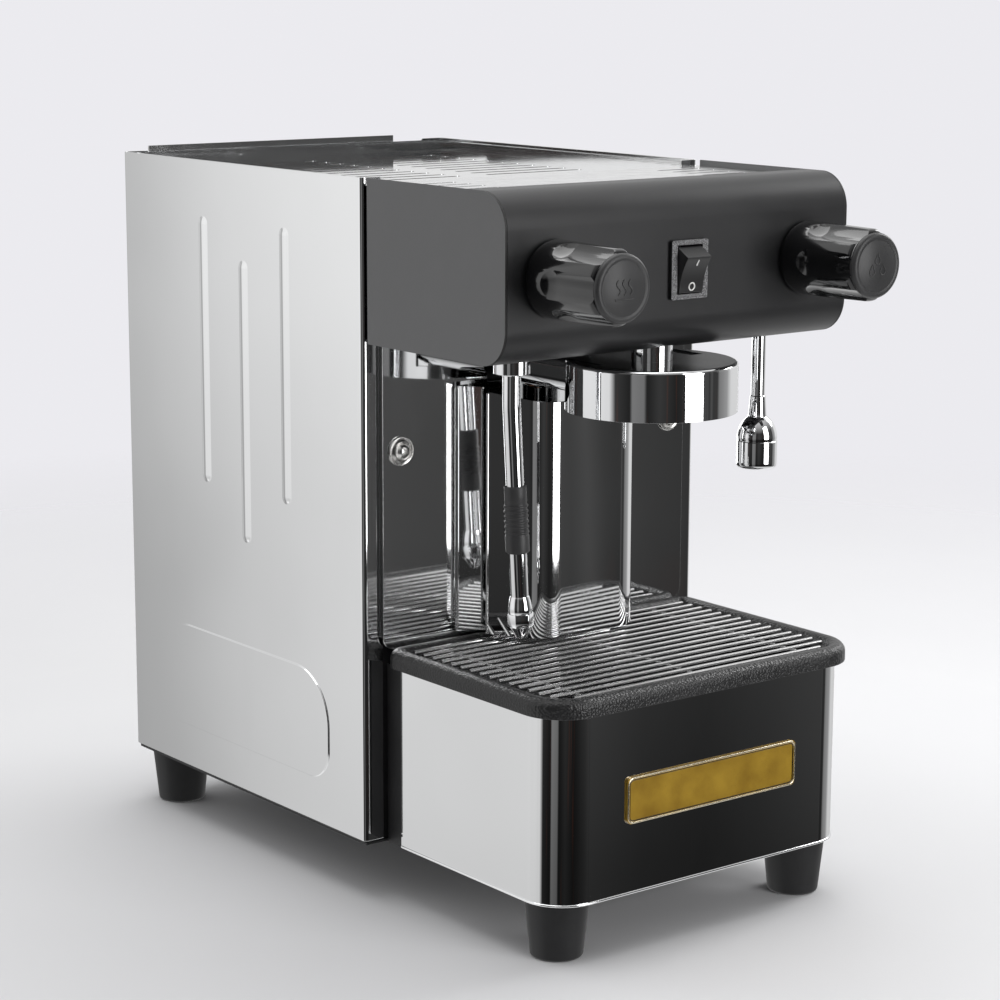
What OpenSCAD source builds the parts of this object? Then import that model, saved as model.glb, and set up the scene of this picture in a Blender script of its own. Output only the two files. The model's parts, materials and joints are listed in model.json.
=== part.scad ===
// Compact one-group espresso machine: a tall mirror-steel body, an overhanging
// black head with two valve knobs and a rocker switch, a ringed brewing group,
// a steam wand, a hot-water nozzle and a drip tray on a low steel base.
//
// +X is to the right of someone who faces the machine, +Y is to its back, +Z is up.
// Inside the modules y = 0 is the front plane of the side panels; placed() then moves
// the machine so that its origin is under the middle of its overall box.

/* [Body] */
// Width over the flat of the two side panels
body_w = 260; // [245:1:300]
// Depth of the side panels
body_d = 271; // [262:1:320]
// Height of the side panels
body_h = 400; // [392:1:440]
// Thickness of the stainless sheet
sheet_t = 1.2; // [0.8:0.1:1.5]
// Height of the chassis edge that shows under the side panels
panel_lift = 2.4; // [2:0.1:6]
// Width of the side panels' front return flange
front_flange_w = 14; // [10:1:18]
// Width of the side panels' rear return flange
rear_flange_w = 19; // [14:1:24]
// Outside radius of the side panels' vertical bends
panel_bend_r = 3; // [2:0.1:4]
// How far the pressed beads stand out of the side panels
bead_rise = 1.2; // [0.6:0.1:1.6]
// Radius of the beads' round section
bead_r = 12; // [9:0.5:16]

/* [Head] */
// How far the head reaches in front of the body
head_reach = 134.3; // [128:0.1:160]
// Height of the head
head_h = 96.3; // [90:0.1:110]
// Narrowing of the head against the body on each side
head_inset = 0.8; // [0.4:0.1:3]
// Gap between the head's plates and the body
head_gap = 4.4; // [4.2:0.1:8]
// Radius of the head's front corners
head_r = 21; // [12:1:28]
// Thickness of the head's plates
head_t = 1.5; // [1:0.1:2]
// How far the black cover wraps back over the top
cover_top_wrap = 34; // [30:1:50]

/* [Switch] */
// Width of the rocker switch's bezel
bezel_w = 27.6; // [24:0.1:34]
// Height of the rocker switch's bezel
bezel_h = 34; // [30:0.1:40]
// Sideways place of the switch
switch_x = 2.3; // [-8:0.1:8]
// Width of the rocker
rocker_w = 18; // [14:0.1:20]
// Height of the rocker
rocker_h = 26; // [22:0.1:27]
// Tilt of the rocker out of the panel
rocker_tilt = 19; // [12:0.5:20]
// How far the rocker's two ridges stand in front of its axis
rocker_out = 8.6; // [7:0.1:9]
// Height of each ridge from the rocker's middle
rocker_ridge = 11.2; // [9:0.1:11.5]

/* [Knobs] */
// Distance between the two knobs
knob_pitch = 190.6; // [176:0.1:200]
// Height of the knobs' axes above the head's underside
knob_rise = 48; // [40:0.5:56]
// Radius of a knob at its foot
knob_r = 22; // [19:0.1:25]
// Radius of a knob at its cap
knob_tip_r = 20.8; // [18:0.1:22]
// Length of a knob, its cap included
knob_len = 58.2; // [48:0.1:66]
// Gap between a knob and the panel
knob_gap = 1.5; // [1:0.1:3]
// Number of finger recesses round a knob
knob_flutes = 6; // [4:1:8]
// Radius of a finger recess
flute_r = 16; // [9:0.1:18]
// Depth of a finger recess
flute_depth = 3; // [1.5:0.1:3.4]
// Plain length at a knob's foot before the recesses start
flute_start = 12.5; // [10:0.5:24]
// Radius of a valve spindle
spindle_r = 4; // [3:0.1:5]
// Radial play of a spindle in its valve
spindle_play = 0.05; // [0.02:0.01:0.08]

/* [Group] */
// How far the group's axis lies in front of the body
group_reach = 107.6; // [100:0.1:112]
// Outside radius of the chromed bell
bell_r = 50.4; // [48:0.1:54]
// Height of the bell
bell_h = 29.3; // [26:0.1:34]
// Gap between the bell and the head
bell_gap = 8; // [6:0.5:10]
// Wall of the bell
bell_t = 2; // [1.5:0.1:3]
// Radius of the bell's top edge
bell_edge_r = 2.2; // [1:0.1:5]
// How far above the bell's lower edge the casting's flat face lies
plate_rise = 17; // [15:0.5:19]
// Radius of the boss between the bell and the head
group_boss_r = 12; // [10:0.5:24]
// Radius of the round throat from the neck into the boiler
throat_r = 18; // [14:0.5:18]
// Radius of the collar that takes the filter holder
collar_r = 36; // [34:0.1:37]
// Height of the collar's lip
collar_lip = 6; // [5:0.1:8]
// Angle of each of the two gaps for the filter holder's lugs
lug_gap = 36; // [30:1:40]
// Radius of the shower screen
screen_r = 28.5; // [26:0.1:30]
// Width of the group's neck
neck_w = 78; // [60:1:84]

/* [Splash panel] */
// Width of the splash panel
splash_w = 236; // [234:1:244]
// How far the splash panel stands in front of the body
splash_proud = 3.4; // [3:0.1:4]
// Thickness of the splash panel
splash_t = 1; // [0.8:0.1:1.2]
// Radius of the splash panel's lower corners
splash_r = 8; // [4:0.5:14]
// Distance between the splash panel's two screws
splash_screw_pitch = 210; // [200:1:214]
// Height of the splash panel's two screws above the drip tray
splash_screw_rise = 117.5; // [90:0.5:130]
// Radius of the cup washers under the screws
cup_washer_r = 9; // [7:0.1:10]

/* [Pillar cover] */
// How far the pillar cover reaches in front of the body
pillar_reach = 54; // [44:0.5:60]
// Half width of the pillar cover's flat front
pillar_front_half = 23; // [16:0.5:28]
// Half width of the pillar cover at the splash panel
pillar_back_half = 64; // [56:0.5:70]
// Radius of the pillar cover's vertical front edges
pillar_edge_r = 20; // [12:0.5:24]
// Gap between the pillar cover and the drip grill
pillar_gap = 3; // [2.9:0.1:6]
// Slope of the pillar cover's top edge
pillar_slope = 8; // [4:0.5:12]

/* [Steam wand] */
// Radius of the wand's tube
wand_tube_r = 5.2; // [4:0.1:6]
// Height from the ball to the wand's tip
wand_len = 159; // [140:1:170]
// Lean of the wand below its bend
wand_lean = 3.3; // [0:0.1:6]
// Length of tube above the bend
wand_straight = 22; // [20:1:40]
// Radius of the wand's ball
ball_r = 8; // [7:0.1:9]
// Length of the rubber grip
grip_len = 39; // [30:1:50]
// Radius of the rubber grip
grip_r = 7.6; // [6.5:0.1:9]
// Length of the tip
tip_len = 25; // [20:0.5:30]
// Radius of the tip
tip_r = 7.4; // [6.5:0.1:8]
// How far the wand and the nozzle lie in front of the body
spout_reach = 97; // [90:0.5:102]
// Distance between the wand and the nozzle
spout_pitch = 190; // [186:0.5:194]

/* [Hot-water nozzle] */
// Radius of the hot-water pipe
water_pipe_r = 4.25; // [3.5:0.05:5]
// Length of pipe between the head and the nozzle
water_pipe_drop = 38; // [28:1:50]
// Largest radius of the nozzle
nozzle_r = 12.5; // [10:0.1:14]
// Height of the nozzle
nozzle_h = 46; // [38:0.5:52]

/* [Base and tray] */
// Width of the base shell
base_w = 230.2; // [226:0.1:232]
// How far the base shell reaches in front of the body
base_reach = 163.4; // [158:0.1:172]
// Radius of the base shell's vertical front edges
base_r = 25; // [18:0.5:30]
// Gap between the base shell and the body
base_gap = 16.5; // [12:0.5:20]
// Height of the base shell
base_h = 114.6; // [108:0.1:120]
// Overhang of the tray's rim over the base shell
rim_overhang = 4.8; // [4:0.1:7]
// Height of the tray's rim above its seat
rim_rise = 7.5; // [7:0.1:9]
// Radius of the rim's round bead
rim_bead_r = 5.5; // [4.5:0.1:6]
// How far the rim's skirt hangs over the base shell
skirt_drop = 3.5; // [2:0.1:6]
// Width of the rim and the ledge that carries the grill
rim_w = 20; // [17:0.5:22]
// Depth of the tray below its seat
tray_depth = 27; // [18:1:40]
// Wall of the tray
tray_t = 2.2; // [1.8:0.1:3]
// Radius of the rim's front corners
rim_front_r = 28; // [24:0.5:34]
// Radius of the rim's rear corners
rim_rear_r = 12; // [12:0.5:16]
// Number of wires in the grill
wire_count = 16; // [12:1:18]
// Radius of a wire
wire_r = 1.5; // [1.2:0.05:1.8]
// Radius of a cross rod under the wires
rod_r = 2; // [1.5:0.05:2.5]
// Width of the plate on the base shell's front
badge_w = 131; // [100:1:150]
// Height of the plate on the base shell's front
badge_h = 27.6; // [20:0.1:34]
// Thickness of the plate on the base shell's front
badge_t = 1.6; // [1:0.1:3]

/* [Feet and chassis] */
// Height of a rubber foot
foot_h = 35; // [25:1:45]
// Radius of a foot at its top
foot_top_r = 19; // [17:0.5:22]
// Radius of a foot on the ground
foot_low_r = 15.5; // [13:0.5:17]
// Distance from each side of the base to the middle of its front foot
front_foot_inset = 21.6; // [20:0.1:30]
// Distance from the front of the base to the middle of the front feet
front_foot_setback = 24.4; // [22:0.1:34]
// Distance between the two rear feet
rear_foot_pitch = 216; // [190:1:220]
// Distance from the back of the body to the rear feet
rear_foot_inset = 22; // [20:1:40]
// Thickness of the chassis floor
floor_t = 1.5; // [1.2:0.1:2]
// Height of the chassis's turned-up edges
lip_h = 15; // [8:1:25]

/* [Cup tray] */
// Depth of the cup tray's floor below the top of the side panels
cup_recess = 8.4; // [6:0.1:12]
// Number of rows of slots in the cup tray
slot_rows = 12; // [6:1:14]
// Distance between rows of slots
slot_pitch = 16; // [14:0.5:17]
// Width of a slot
slot_w = 3.6; // [2:0.1:3.8]
// Length of a slot
slot_len = 78; // [50:1:90]

/* [Inner parts] */
// Radius of the boiler
boiler_r = 50; // [42:1:56]
// Length of the boiler
boiler_len = 150; // [120:1:170]
// Width of the pump's square coil housing
pump_side = 48; // [40:1:54]
// Length of the pump from nozzle to nozzle
pump_len = 136; // [110:1:140]
// Width of the water tank
tank_w = 210; // [160:1:220]
// Depth of the water tank
tank_d = 84; // [60:1:90]
// Height of the water tank
tank_h = 205; // [150:1:215]
// Radius of the copper pipes
pipe_r = 3; // [2.5:0.1:3.5]
// Radius of the bore that the mains cable passes through
cable_bore_r = 4.2; // [3.5:0.1:5]

/* [Hidden] */

$fn = 48;

// Clearances
fit = 0.3;
hair = 0.05;
eps = 0.01;

// Heights
top_plate_drop = 3.6;
floor_z = foot_h;
floor_top = floor_z + floor_t;
panel_z0 = foot_h + panel_lift;
body_top = panel_z0 + body_h;
head_z0 = body_top - head_h;
knob_z = head_z0 + knob_rise;
bell_z1 = head_z0 - bell_gap;
bell_z0 = bell_z1 - bell_h;
seat_z = floor_z + 0.4 + base_h;
tray_seat = seat_z + fit;
rim_top = tray_seat + rim_rise;
skirt_z0 = tray_seat - skirt_drop;
ledge_z = rim_top - 4.3;
wire_z = ledge_z + fit + wire_r;
grill_top = wire_z + wire_r;
splash_z0 = rim_top - 2.7;
splash_z1 = head_z0 + 10;
pillar_z0 = grill_top + pillar_gap;

// Widths and depths
front_foot_pitch = base_w - 2 * front_foot_inset;
front_foot_reach = base_reach - front_foot_setback;
half_w = body_w / 2;
inner_half = half_w - sheet_t - fit;
head_half = half_w - head_inset;
cover_half = head_half - head_t - 0.1;
upright_y0 = sheet_t + fit;
upright_t = 1.5;
upright_y1 = upright_y0 + upright_t;
rear_wall_y1 = body_d - sheet_t - fit;
rear_wall_y0 = rear_wall_y1 - sheet_t;
base_half = base_w / 2;
frame_half = base_half - sheet_t - fit;
rim_half = base_half + rim_overhang;
rim_front = base_reach + rim_overhang + 0.8;
rim_back = splash_proud + 1.2;
knob_reach = head_reach + knob_gap + knob_len;
gland_proud = 3.6;
back_reach = body_d + gland_proud;
front_plane_y = (knob_reach - back_reach) / 2;

// Group's neck, under the head and above the pillar cover
neck_z1 = bell_z1 - 0.6;
neck_h = 20;
neck_z0 = neck_z1 - neck_h;
neck_hole_gap = 1.5;
neck_z = (neck_z0 + neck_z1) / 2;
flange_r = 30;

// Knob and its cap
cap_t = 3;
cap_r = knob_tip_r - 1.8;
knob_body_len = knob_len - cap_t;
flute_half = sqrt(2 * flute_r * flute_depth - flute_depth * flute_depth);
socket_depth = 18;

// Bodies, bores and places of the inner parts
foot_bore_r = 3;
// Long pressed bead on a side panel: y, low z, high z
bead_lines = [[0.30, 0.50, 0.90], [0.47, 0.42, 0.84], [0.64, 0.50, 0.90]];
gland_x = -86;
gland_z = floor_top + 40;
gland_hole_r = 9;
rear_screw_spots = [for (x = [-1, 1], z = [0.06, 0.5, 0.94]) [x, z]];
rear_screw_r = 1.9;
splash_screw_z = rim_top + splash_screw_rise;
splash_screw_r = 2.5;
valve_neck_r = 7;
valve_nut_r = 12;
valve_room = 6.7;
valve_drop_r = 5;
valve_drop = 16;
switch_body_w = bezel_w - 4;
switch_body_h = bezel_h - 4;
switch_z = knob_z - 1;
rocker_axis_y = -head_reach + 0.9;
gasket_h = 7;
plate_z = bell_z0 + plate_rise;
ball_z = head_z0 - 4;
nut_r = 10.5;
nut_h = 17;
seat_t = 0.9;
wand_bend_z = ball_z - wand_straight;
wand_bend_r = 70;
lower_len = (wand_len - wand_straight - wand_bend_r * sin(wand_lean)) / cos(wand_lean);
nozzle_z1 = head_z0 - water_pipe_drop;
boiler_t = 2.5;
element_port_r = 21;
boiler_y = upright_y1 + 8 + boiler_r;
boiler_z = neck_z + 6;
valve_pipe_x = knob_pitch / 2 - 16;
valve_pipe_z = knob_z + 20;
pump_y = body_d * 0.42;
pump_z = floor_top + pump_side / 2 + 10;
tank_y1 = rear_wall_y0 - 8;
tank_y0 = tank_y1 - tank_d;
tank_z1 = body_top - cup_recess - 26;
tank_z0 = tank_z1 - tank_h;
hose_r = 4;
solenoid_x = -70;
lower_row_z = boiler_z - boiler_r - 40;
module placed() translate([0, front_plane_y, 0]) children();

module slab(x0, x1, y0, y1, z0, z1) translate([x0, y0, z0]) cube([x1 - x0, y1 - y0, z1 - z0]);

// A round bar along Y, X or Z between two coordinates
module bar_y(r, y0, y1) translate([0, y1, 0]) rotate([90, 0, 0]) cylinder(r = r, h = y1 - y0);
module bar_x(r, x0, x1) translate([x0, 0, 0]) rotate([0, 90, 0]) cylinder(r = r, h = x1 - x0);
module bar_z(r, z0, z1) translate([0, 0, z0]) cylinder(r = r, h = z1 - z0);

// A rectangle from (x0, y0) to (x1, y1) with its own radius at the low-y and the high-y corners
module soft_rect(x0, x1, y0, y1, r_low, r_high) {
    translate([x0 + r_low, y0]) square([x1 - x0 - 2 * r_low, r_low]);
    translate([x0, y0 + r_low]) square([x1 - x0, y1 - y0 - r_low - r_high]);
    translate([x0 + r_high, y1 - r_high]) square([x1 - x0 - 2 * r_high, r_high]);
    for (x = [x0 + r_low, x1 - r_low]) translate([x, y0 + r_low]) circle(r_low);
    for (x = [x0 + r_high, x1 - r_high]) translate([x, y1 - r_high]) circle(r_high);
}

// Points of an arc, for outlines whose straight stretches meet it at any angle
function arc(c, r, a0, a1, n = 10) =
    [for (i = [0:n]) let (a = a0 + (a1 - a0) * i / n) [c[0] + r * cos(a), c[1] + r * sin(a)]];

// A pipe along a list of points, with a ball at each bend
module pipe(points, r) {
    for (i = [0:len(points) - 2]) {
        step = points[i + 1] - points[i];
        run = norm(step);
        translate(points[i])
            rotate([0, acos(step[2] / run), atan2(step[1], step[0])]) cylinder(r = r, h = run);
        if (i > 0) translate(points[i]) sphere(r);
    }
}

// ---------------------------------------------------------------- chassis and base

function foot_places() = [
    [-front_foot_pitch / 2, -front_foot_reach], [front_foot_pitch / 2, -front_foot_reach],
    [-rear_foot_pitch / 2, body_d - rear_foot_inset], [rear_foot_pitch / 2, body_d - rear_foot_inset]];

module chassis_floor() color("#202022") difference() {
    front_y = -base_reach + sheet_t + fit;
    corner_r = base_r - sheet_t - fit;
    back_y = rear_wall_y0 - fit;
    union() {
        translate([0, 0, floor_z]) linear_extrude(floor_t) {
            soft_rect(-frame_half, frame_half, front_y, upright_y0, corner_r, 1);
            translate([-inner_half, upright_y0 - 1]) square([2 * inner_half, back_y - upright_y0 + 1]);
        }
        for (s = [-1, 1]) {
            edge = s * inner_half;
            slab(min(edge, edge - s * floor_t), max(edge, edge - s * floor_t),
                upright_y1 + fit, back_y, floor_z, floor_z + lip_h);
        }
        slab(-inner_half, inner_half, back_y - floor_t, back_y, floor_z, floor_z + lip_h);
    }
    for (p = foot_places()) translate([p[0], p[1], floor_z - 1]) cylinder(r = foot_bore_r, h = floor_t + 2);
}

// Black inner frame that carries the drip tray behind the base shell
module base_frame() color("#1c1d20") {
    wall = 1.5;
    back_y = -0.8;
    for (s = [-1, 1]) {
        edge = s * frame_half;
        slab(min(edge, edge - s * wall), max(edge, edge - s * wall),
            -base_reach + base_r + 4, -rim_back - rim_rear_r, floor_top, seat_z);
        slab(min(edge, edge - s * wall), max(edge, edge - s * wall),
            -rim_back - rim_rear_r - eps, back_y, floor_top, skirt_z0 - fit);
    }
    slab(-frame_half, frame_half, back_y - wall, back_y, floor_top, skirt_z0 - fit);
}

module base_shell() color("#c9cbce") translate([0, 0, floor_z + 0.4]) linear_extrude(base_h) difference() {
    soft_rect(-base_half, base_half, -base_reach, -base_gap + 40, base_r, 2);
    soft_rect(-base_half + sheet_t, base_half - sheet_t, -base_reach + sheet_t, -base_gap + 60,
        base_r - sheet_t, 2);
    translate([-base_w, -base_gap]) square([2 * base_w, 90]);
}

// Plain amber plate in a narrow frame
module badge_plate() color("#c08a1e") {
    badge_z = floor_z + 0.4 + 0.49 * base_h;
    frame_w = 1.8;
    translate([switch_x, -base_reach - hair, badge_z]) rotate([90, 0, 0]) {
        linear_extrude(badge_t * 0.7)
            soft_rect(-badge_w / 2, badge_w / 2, -badge_h / 2, badge_h / 2, 3, 3);
        linear_extrude(badge_t) difference() {
            soft_rect(-badge_w / 2, badge_w / 2, -badge_h / 2, badge_h / 2, 3, 3);
            soft_rect(-badge_w / 2 + frame_w, badge_w / 2 - frame_w,
                -badge_h / 2 + frame_w, badge_h / 2 - frame_w, 1.6, 1.6);
        }
    }
}

// A tapered rubber foot, recessed from below for the head of its screw
module foot(place) color("#19191a") translate([place[0], place[1], 0]) rotate_extrude() {
    recess_r = 6;
    recess_h = foot_h * 0.4;
    difference() {
        polygon([[0, 0], [foot_low_r - 1, 0], [foot_low_r, 1], [foot_top_r, foot_h], [0, foot_h]]);
        translate([-1, -1]) square([recess_r + 1, recess_h + 1]);
        translate([-1, recess_h - 1]) square([foot_bore_r + 1, foot_h]);
    }
}

module foot_screws() color("#a8a9ac") for (p = foot_places()) translate([p[0], p[1], 0]) {
    recess_h = foot_h * 0.4;
    bar_z(5, recess_h - 3, recess_h);
    bar_z(foot_bore_r - 0.1, recess_h - eps, floor_top + 4);
    difference() {
        bar_z(5.5, floor_top, floor_top + 3);
        bar_z(foot_bore_r - 0.2, floor_top - 1, floor_top + 4);
    }
}

// ---------------------------------------------------------------- drip tray

// Section of the rim's bead: x runs inwards from the rim's outer edge
module rim_section() difference() {
    union() {
        translate([0, skirt_z0]) square([2 * rim_bead_r, rim_top - rim_bead_r - skirt_z0]);
        translate([rim_bead_r, rim_top - rim_bead_r]) circle(rim_bead_r);
    }
    translate([tray_t, skirt_z0 - 1]) square([3 * rim_bead_r, tray_seat - skirt_z0 + 1]);
}

// One straight length of the bead, from the origin along +Y with its outer edge at x = 0
module rim_length(run) translate([0, run, 0]) rotate([90, 0, 0]) linear_extrude(run) rim_section();

// One quarter of the bead, with its outer edge at radius r
module rim_corner(r) rotate_extrude(angle = 90) translate([r, 0]) mirror([1, 0]) rim_section();

module drip_tray() color("#1b1b1c") {
    f = rim_front_r;
    b = rim_rear_r;
    translate([-rim_half, -rim_front + f, 0]) rim_length(rim_front - rim_back - f - b);
    translate([rim_half, -rim_front + f, 0]) mirror([1, 0, 0]) rim_length(rim_front - rim_back - f - b);
    translate([rim_half - f, -rim_front, 0]) rotate([0, 0, 90]) rim_length(2 * (rim_half - f));
    translate([-rim_half + b, -rim_back, 0]) rotate([0, 0, -90]) rim_length(2 * (rim_half - b));
    translate([rim_half - b, -rim_back - b, 0]) rim_corner(b);
    translate([-rim_half + b, -rim_back - b, 0]) rotate([0, 0, 90]) rim_corner(b);
    translate([-rim_half + f, -rim_front + f, 0]) rotate([0, 0, 180]) rim_corner(f);
    translate([rim_half - f, -rim_front + f, 0]) rotate([0, 0, 270]) rim_corner(f);
    in_r = rim_bead_r;
    low_y = -rim_front + 2 * rim_bead_r + 1;
    high_y = -rim_back - 2 * rim_bead_r - 0.6;
    // Ledge under the ends of the grill
    translate([0, 0, tray_seat]) linear_extrude(ledge_z - tray_seat) difference() {
        soft_rect(-rim_half + in_r, rim_half - in_r, -rim_front + in_r, -rim_back - in_r, f - in_r, b - in_r);
        soft_rect(-rim_half + rim_w, rim_half - rim_w, low_y, high_y, 12, 12);
    }
    // Basin
    translate([0, 0, tray_seat - tray_depth]) difference() {
        linear_extrude(tray_depth + eps)
            soft_rect(-rim_half + rim_w - tray_t, rim_half - rim_w + tray_t,
                low_y - tray_t, high_y + tray_t, 14, 14);
        translate([0, 0, tray_t]) linear_extrude(tray_depth)
            soft_rect(-rim_half + rim_w, rim_half - rim_w, low_y, high_y, 12, 12);
    }
}

// Round wires that lie side by side on three cross rods
module drip_grill() color("#8d8f92") {
    first_y = -rim_front + 2 * rim_bead_r + wire_r + 1.5;
    last_y = -rim_back - 2 * rim_bead_r - wire_r - 1.2;
    // The wires near the rim's front corners are shorter, to follow its round edge
    corner_y = -rim_front + rim_front_r;
    corner_in = rim_front_r - 2 * rim_bead_r - wire_r - 1;
    side_half = rim_half - 2 * rim_bead_r - 2.5;
    for (i = [0:wire_count - 1]) {
        y = first_y + (last_y - first_y) * i / (wire_count - 1);
        past = max(0, corner_y - y);
        half = min(side_half, rim_half - rim_front_r + sqrt(corner_in * corner_in - past * past));
        translate([0, y, wire_z]) bar_x(wire_r, -half, half);
    }
    for (x = [-0.84, 0, 0.84])
        translate([x * (rim_half - rim_w), 0, wire_z - wire_r - rod_r - hair])
            bar_y(rod_r, first_y - 1, last_y + 1);
}

// ---------------------------------------------------------------- body

module side_panel(s) color("#d4d6d8") {
    z0 = panel_z0;
    r = panel_bend_r;
    // Sheet with its two return flanges, bent round the vertical edges
    translate([0, 0, z0]) linear_extrude(body_h) mirror([s < 0 ? 1 : 0, 0]) difference() {
        union() {
            translate([half_w - r, r]) square([r, body_d - 2 * r]);
            for (y = [r, body_d - r]) translate([half_w - r, y]) intersection() {
                circle(r);
                translate([0, y > r ? 0 : -r]) square([r, r]);
            }
            translate([half_w - front_flange_w, 0]) square([front_flange_w - r, r]);
            translate([half_w - rear_flange_w, body_d - r]) square([rear_flange_w - r, r]);
        }
        translate([half_w - 40, sheet_t]) square([40 - r, body_d - 2 * sheet_t]);
        translate([half_w - r - eps, r]) square([r - sheet_t + eps, body_d - 2 * r]);
        for (y = [r, body_d - r]) translate([half_w - r, y]) circle(r - sheet_t);
    }
    // Pressed beads
    for (b = bead_lines) intersection() {
        translate([s * (half_w - bead_r + bead_rise), b[0] * body_d, 0]) {
            bar_z(bead_r, z0 + b[1] * body_h, z0 + b[2] * body_h);
            translate([0, 0, z0 + b[1] * body_h]) sphere(bead_r);
            translate([0, 0, z0 + b[2] * body_h]) sphere(bead_r);
        }
        slab(min(s * (half_w - 0.2), s * (half_w + 5)), max(s * (half_w - 0.2), s * (half_w + 5)),
            0, body_d, z0, body_top);
    }
    // Raised field low on the panel
    translate([s * (half_w - 0.2), 0, z0]) rotate([90, 0, 90])
        translate([0, 0, s > 0 ? 0 : -(bead_rise * 0.7 + 0.2)]) linear_extrude(bead_rise * 0.7 + 0.2)
            soft_rect(0.14 * body_d, 0.86 * body_d, 0.07 * body_h, 0.24 * body_h, 20, 34);
    // Rail that carries the cup tray
    rail_w = 9;
    rail_z = body_top - cup_recess - 2 * sheet_t - fit;
    edge = s * (half_w - sheet_t + eps);
    slab(min(edge, edge - s * rail_w), max(edge, edge - s * rail_w), 8, body_d - 8, rail_z, rail_z + sheet_t);
}

function rear_spot(p) = [p[0] * (half_w - rear_flange_w / 2 - 2), 0, panel_z0 + p[1] * body_h];

module rear_wall() color("#cfd1d3") difference() {
    half = inner_half - 1;
    slab(-half, half, rear_wall_y0, rear_wall_y1, panel_z0, body_top - cup_recess - sheet_t - fit - 1);
    // Louvres
    for (i = [0:8], x = [-52, 52]) translate([x, rear_wall_y1 + 5, panel_z0 + 0.2 * body_h + i * 14])
        rotate([90, 0, 0]) linear_extrude(10) soft_rect(-38, 38, -2, 2, 1.9, 1.9);
    translate([gland_x, 0, gland_z]) bar_y(gland_hole_r, rear_wall_y0 - 5, rear_wall_y1 + 5);
    for (p = rear_screw_spots)
        translate(rear_spot(p)) bar_y(rear_screw_r, rear_wall_y0 - 5, rear_wall_y1 + 5);
}

module rear_screws() color("#9c9ea1") for (p = rear_screw_spots) translate(rear_spot(p))
    bar_y(3.6, body_d + hair, body_d + 2);

module front_upright() color("#1d1e21") difference() {
    half = half_w - panel_bend_r;
    slab(-half, half, upright_y0, upright_y1, floor_top, body_top - cup_recess - 12);
    translate([0, 0, neck_z]) bar_y(throat_r + 1, 0, 10);
    for (s = [-1, 1]) {
        translate([s * valve_pipe_x, 0, valve_pipe_z]) bar_y(pipe_r + 2, 0, 10);
        translate([s * splash_screw_pitch / 2, 0, splash_screw_z]) bar_y(splash_screw_r + hair, 0, 10);
    }
}

// Dished sheet with turned-back side edges and a notch for the group's neck
module splash_panel() color("#c3c5c8") difference() {
    union() {
        translate([0, -splash_proud + splash_t, 0]) rotate([90, 0, 0]) linear_extrude(splash_t)
            soft_rect(-splash_w / 2, splash_w / 2, splash_z0, splash_z1, splash_r, 2);
        for (s = [-1, 1]) {
            edge = s * splash_w / 2;
            slab(min(edge, edge - s * splash_t), max(edge, edge - s * splash_t),
                -splash_proud + splash_t - eps, -fit, splash_z0 + splash_r, splash_z1 - 2);
        }
    }
    slab(-neck_w / 2 - neck_hole_gap, neck_w / 2 + neck_hole_gap, -splash_proud - 1, 0,
        neck_z0 - neck_hole_gap, splash_z1 + 1);
    translate([0, 0, neck_z]) bar_y(throat_r + 1, -splash_proud - 1, 0);
    for (s = [-1, 1]) translate([s * splash_screw_pitch / 2, 0, splash_screw_z])
        bar_y(splash_screw_r + 0.2, -splash_proud - 1, 0);
}

// Pan-head screws, each in a raised cup washer
module splash_screws() color("#b9bbbe") for (s = [-1, 1])
    translate([s * splash_screw_pitch / 2, -splash_proud - hair, splash_screw_z]) rotate([90, 0, 0]) {
        rotate_extrude() polygon([[splash_screw_r, 0], [cup_washer_r, 0], [cup_washer_r - 0.6, 1],
            [cup_washer_r * 0.62, 2.6], [cup_washer_r * 0.5, 2.6], [splash_screw_r, 0.8]]);
        rotate_extrude() polygon([[0, 0.6], [splash_screw_r + 1.6, 0.9], [splash_screw_r + 1.6, 2.6],
            [splash_screw_r, 3.4], [0, 3.8]]);
        translate([0, 0, -upright_y1 - splash_proud - 3])
            cylinder(r = splash_screw_r, h = upright_y1 + splash_proud + 4);
    }

// Plan of the pillar cover's outside, inset by t: flat front, round edges, slanting sides
module pillar_plan(t) {
    back_y = -splash_proud - hair;
    front_y = -pillar_reach + t;
    back_x = pillar_back_half - t;
    r = pillar_edge_r - t;
    centre = [pillar_front_half, -pillar_reach + pillar_edge_r];
    // The side is the tangent from the back corner to the edge's circle
    to_back = [back_x - centre[0], back_y - centre[1]];
    reach = norm(to_back);
    touch = atan2(to_back[1], to_back[0]) - acos(r / reach);
    polygon(concat(
        [[-back_x, back_y + t * 3]], [[-back_x, back_y]],
        arc([-centre[0], centre[1]], r, 180 - touch, 270),
        arc(centre, r, -90, touch),
        [[back_x, back_y]], [[back_x, back_y + t * 3]]));
}

module pillar_cover() color("#b7b9bc") difference() {
    top_z = neck_z0 - 2;
    translate([0, 0, pillar_z0]) linear_extrude(top_z - pillar_z0) difference() {
        intersection() {
            pillar_plan(0);
            translate([-100, -100]) square([200, 100 - splash_proud - hair]);
        }
        pillar_plan(sheet_t);
    }
    // The top edge falls towards the front
    translate([0, -splash_proud, top_z]) rotate([pillar_slope, 0, 0])
        translate([-100, -120, 0]) cube([200, 120, 60]);
}

// ---------------------------------------------------------------- top

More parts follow.
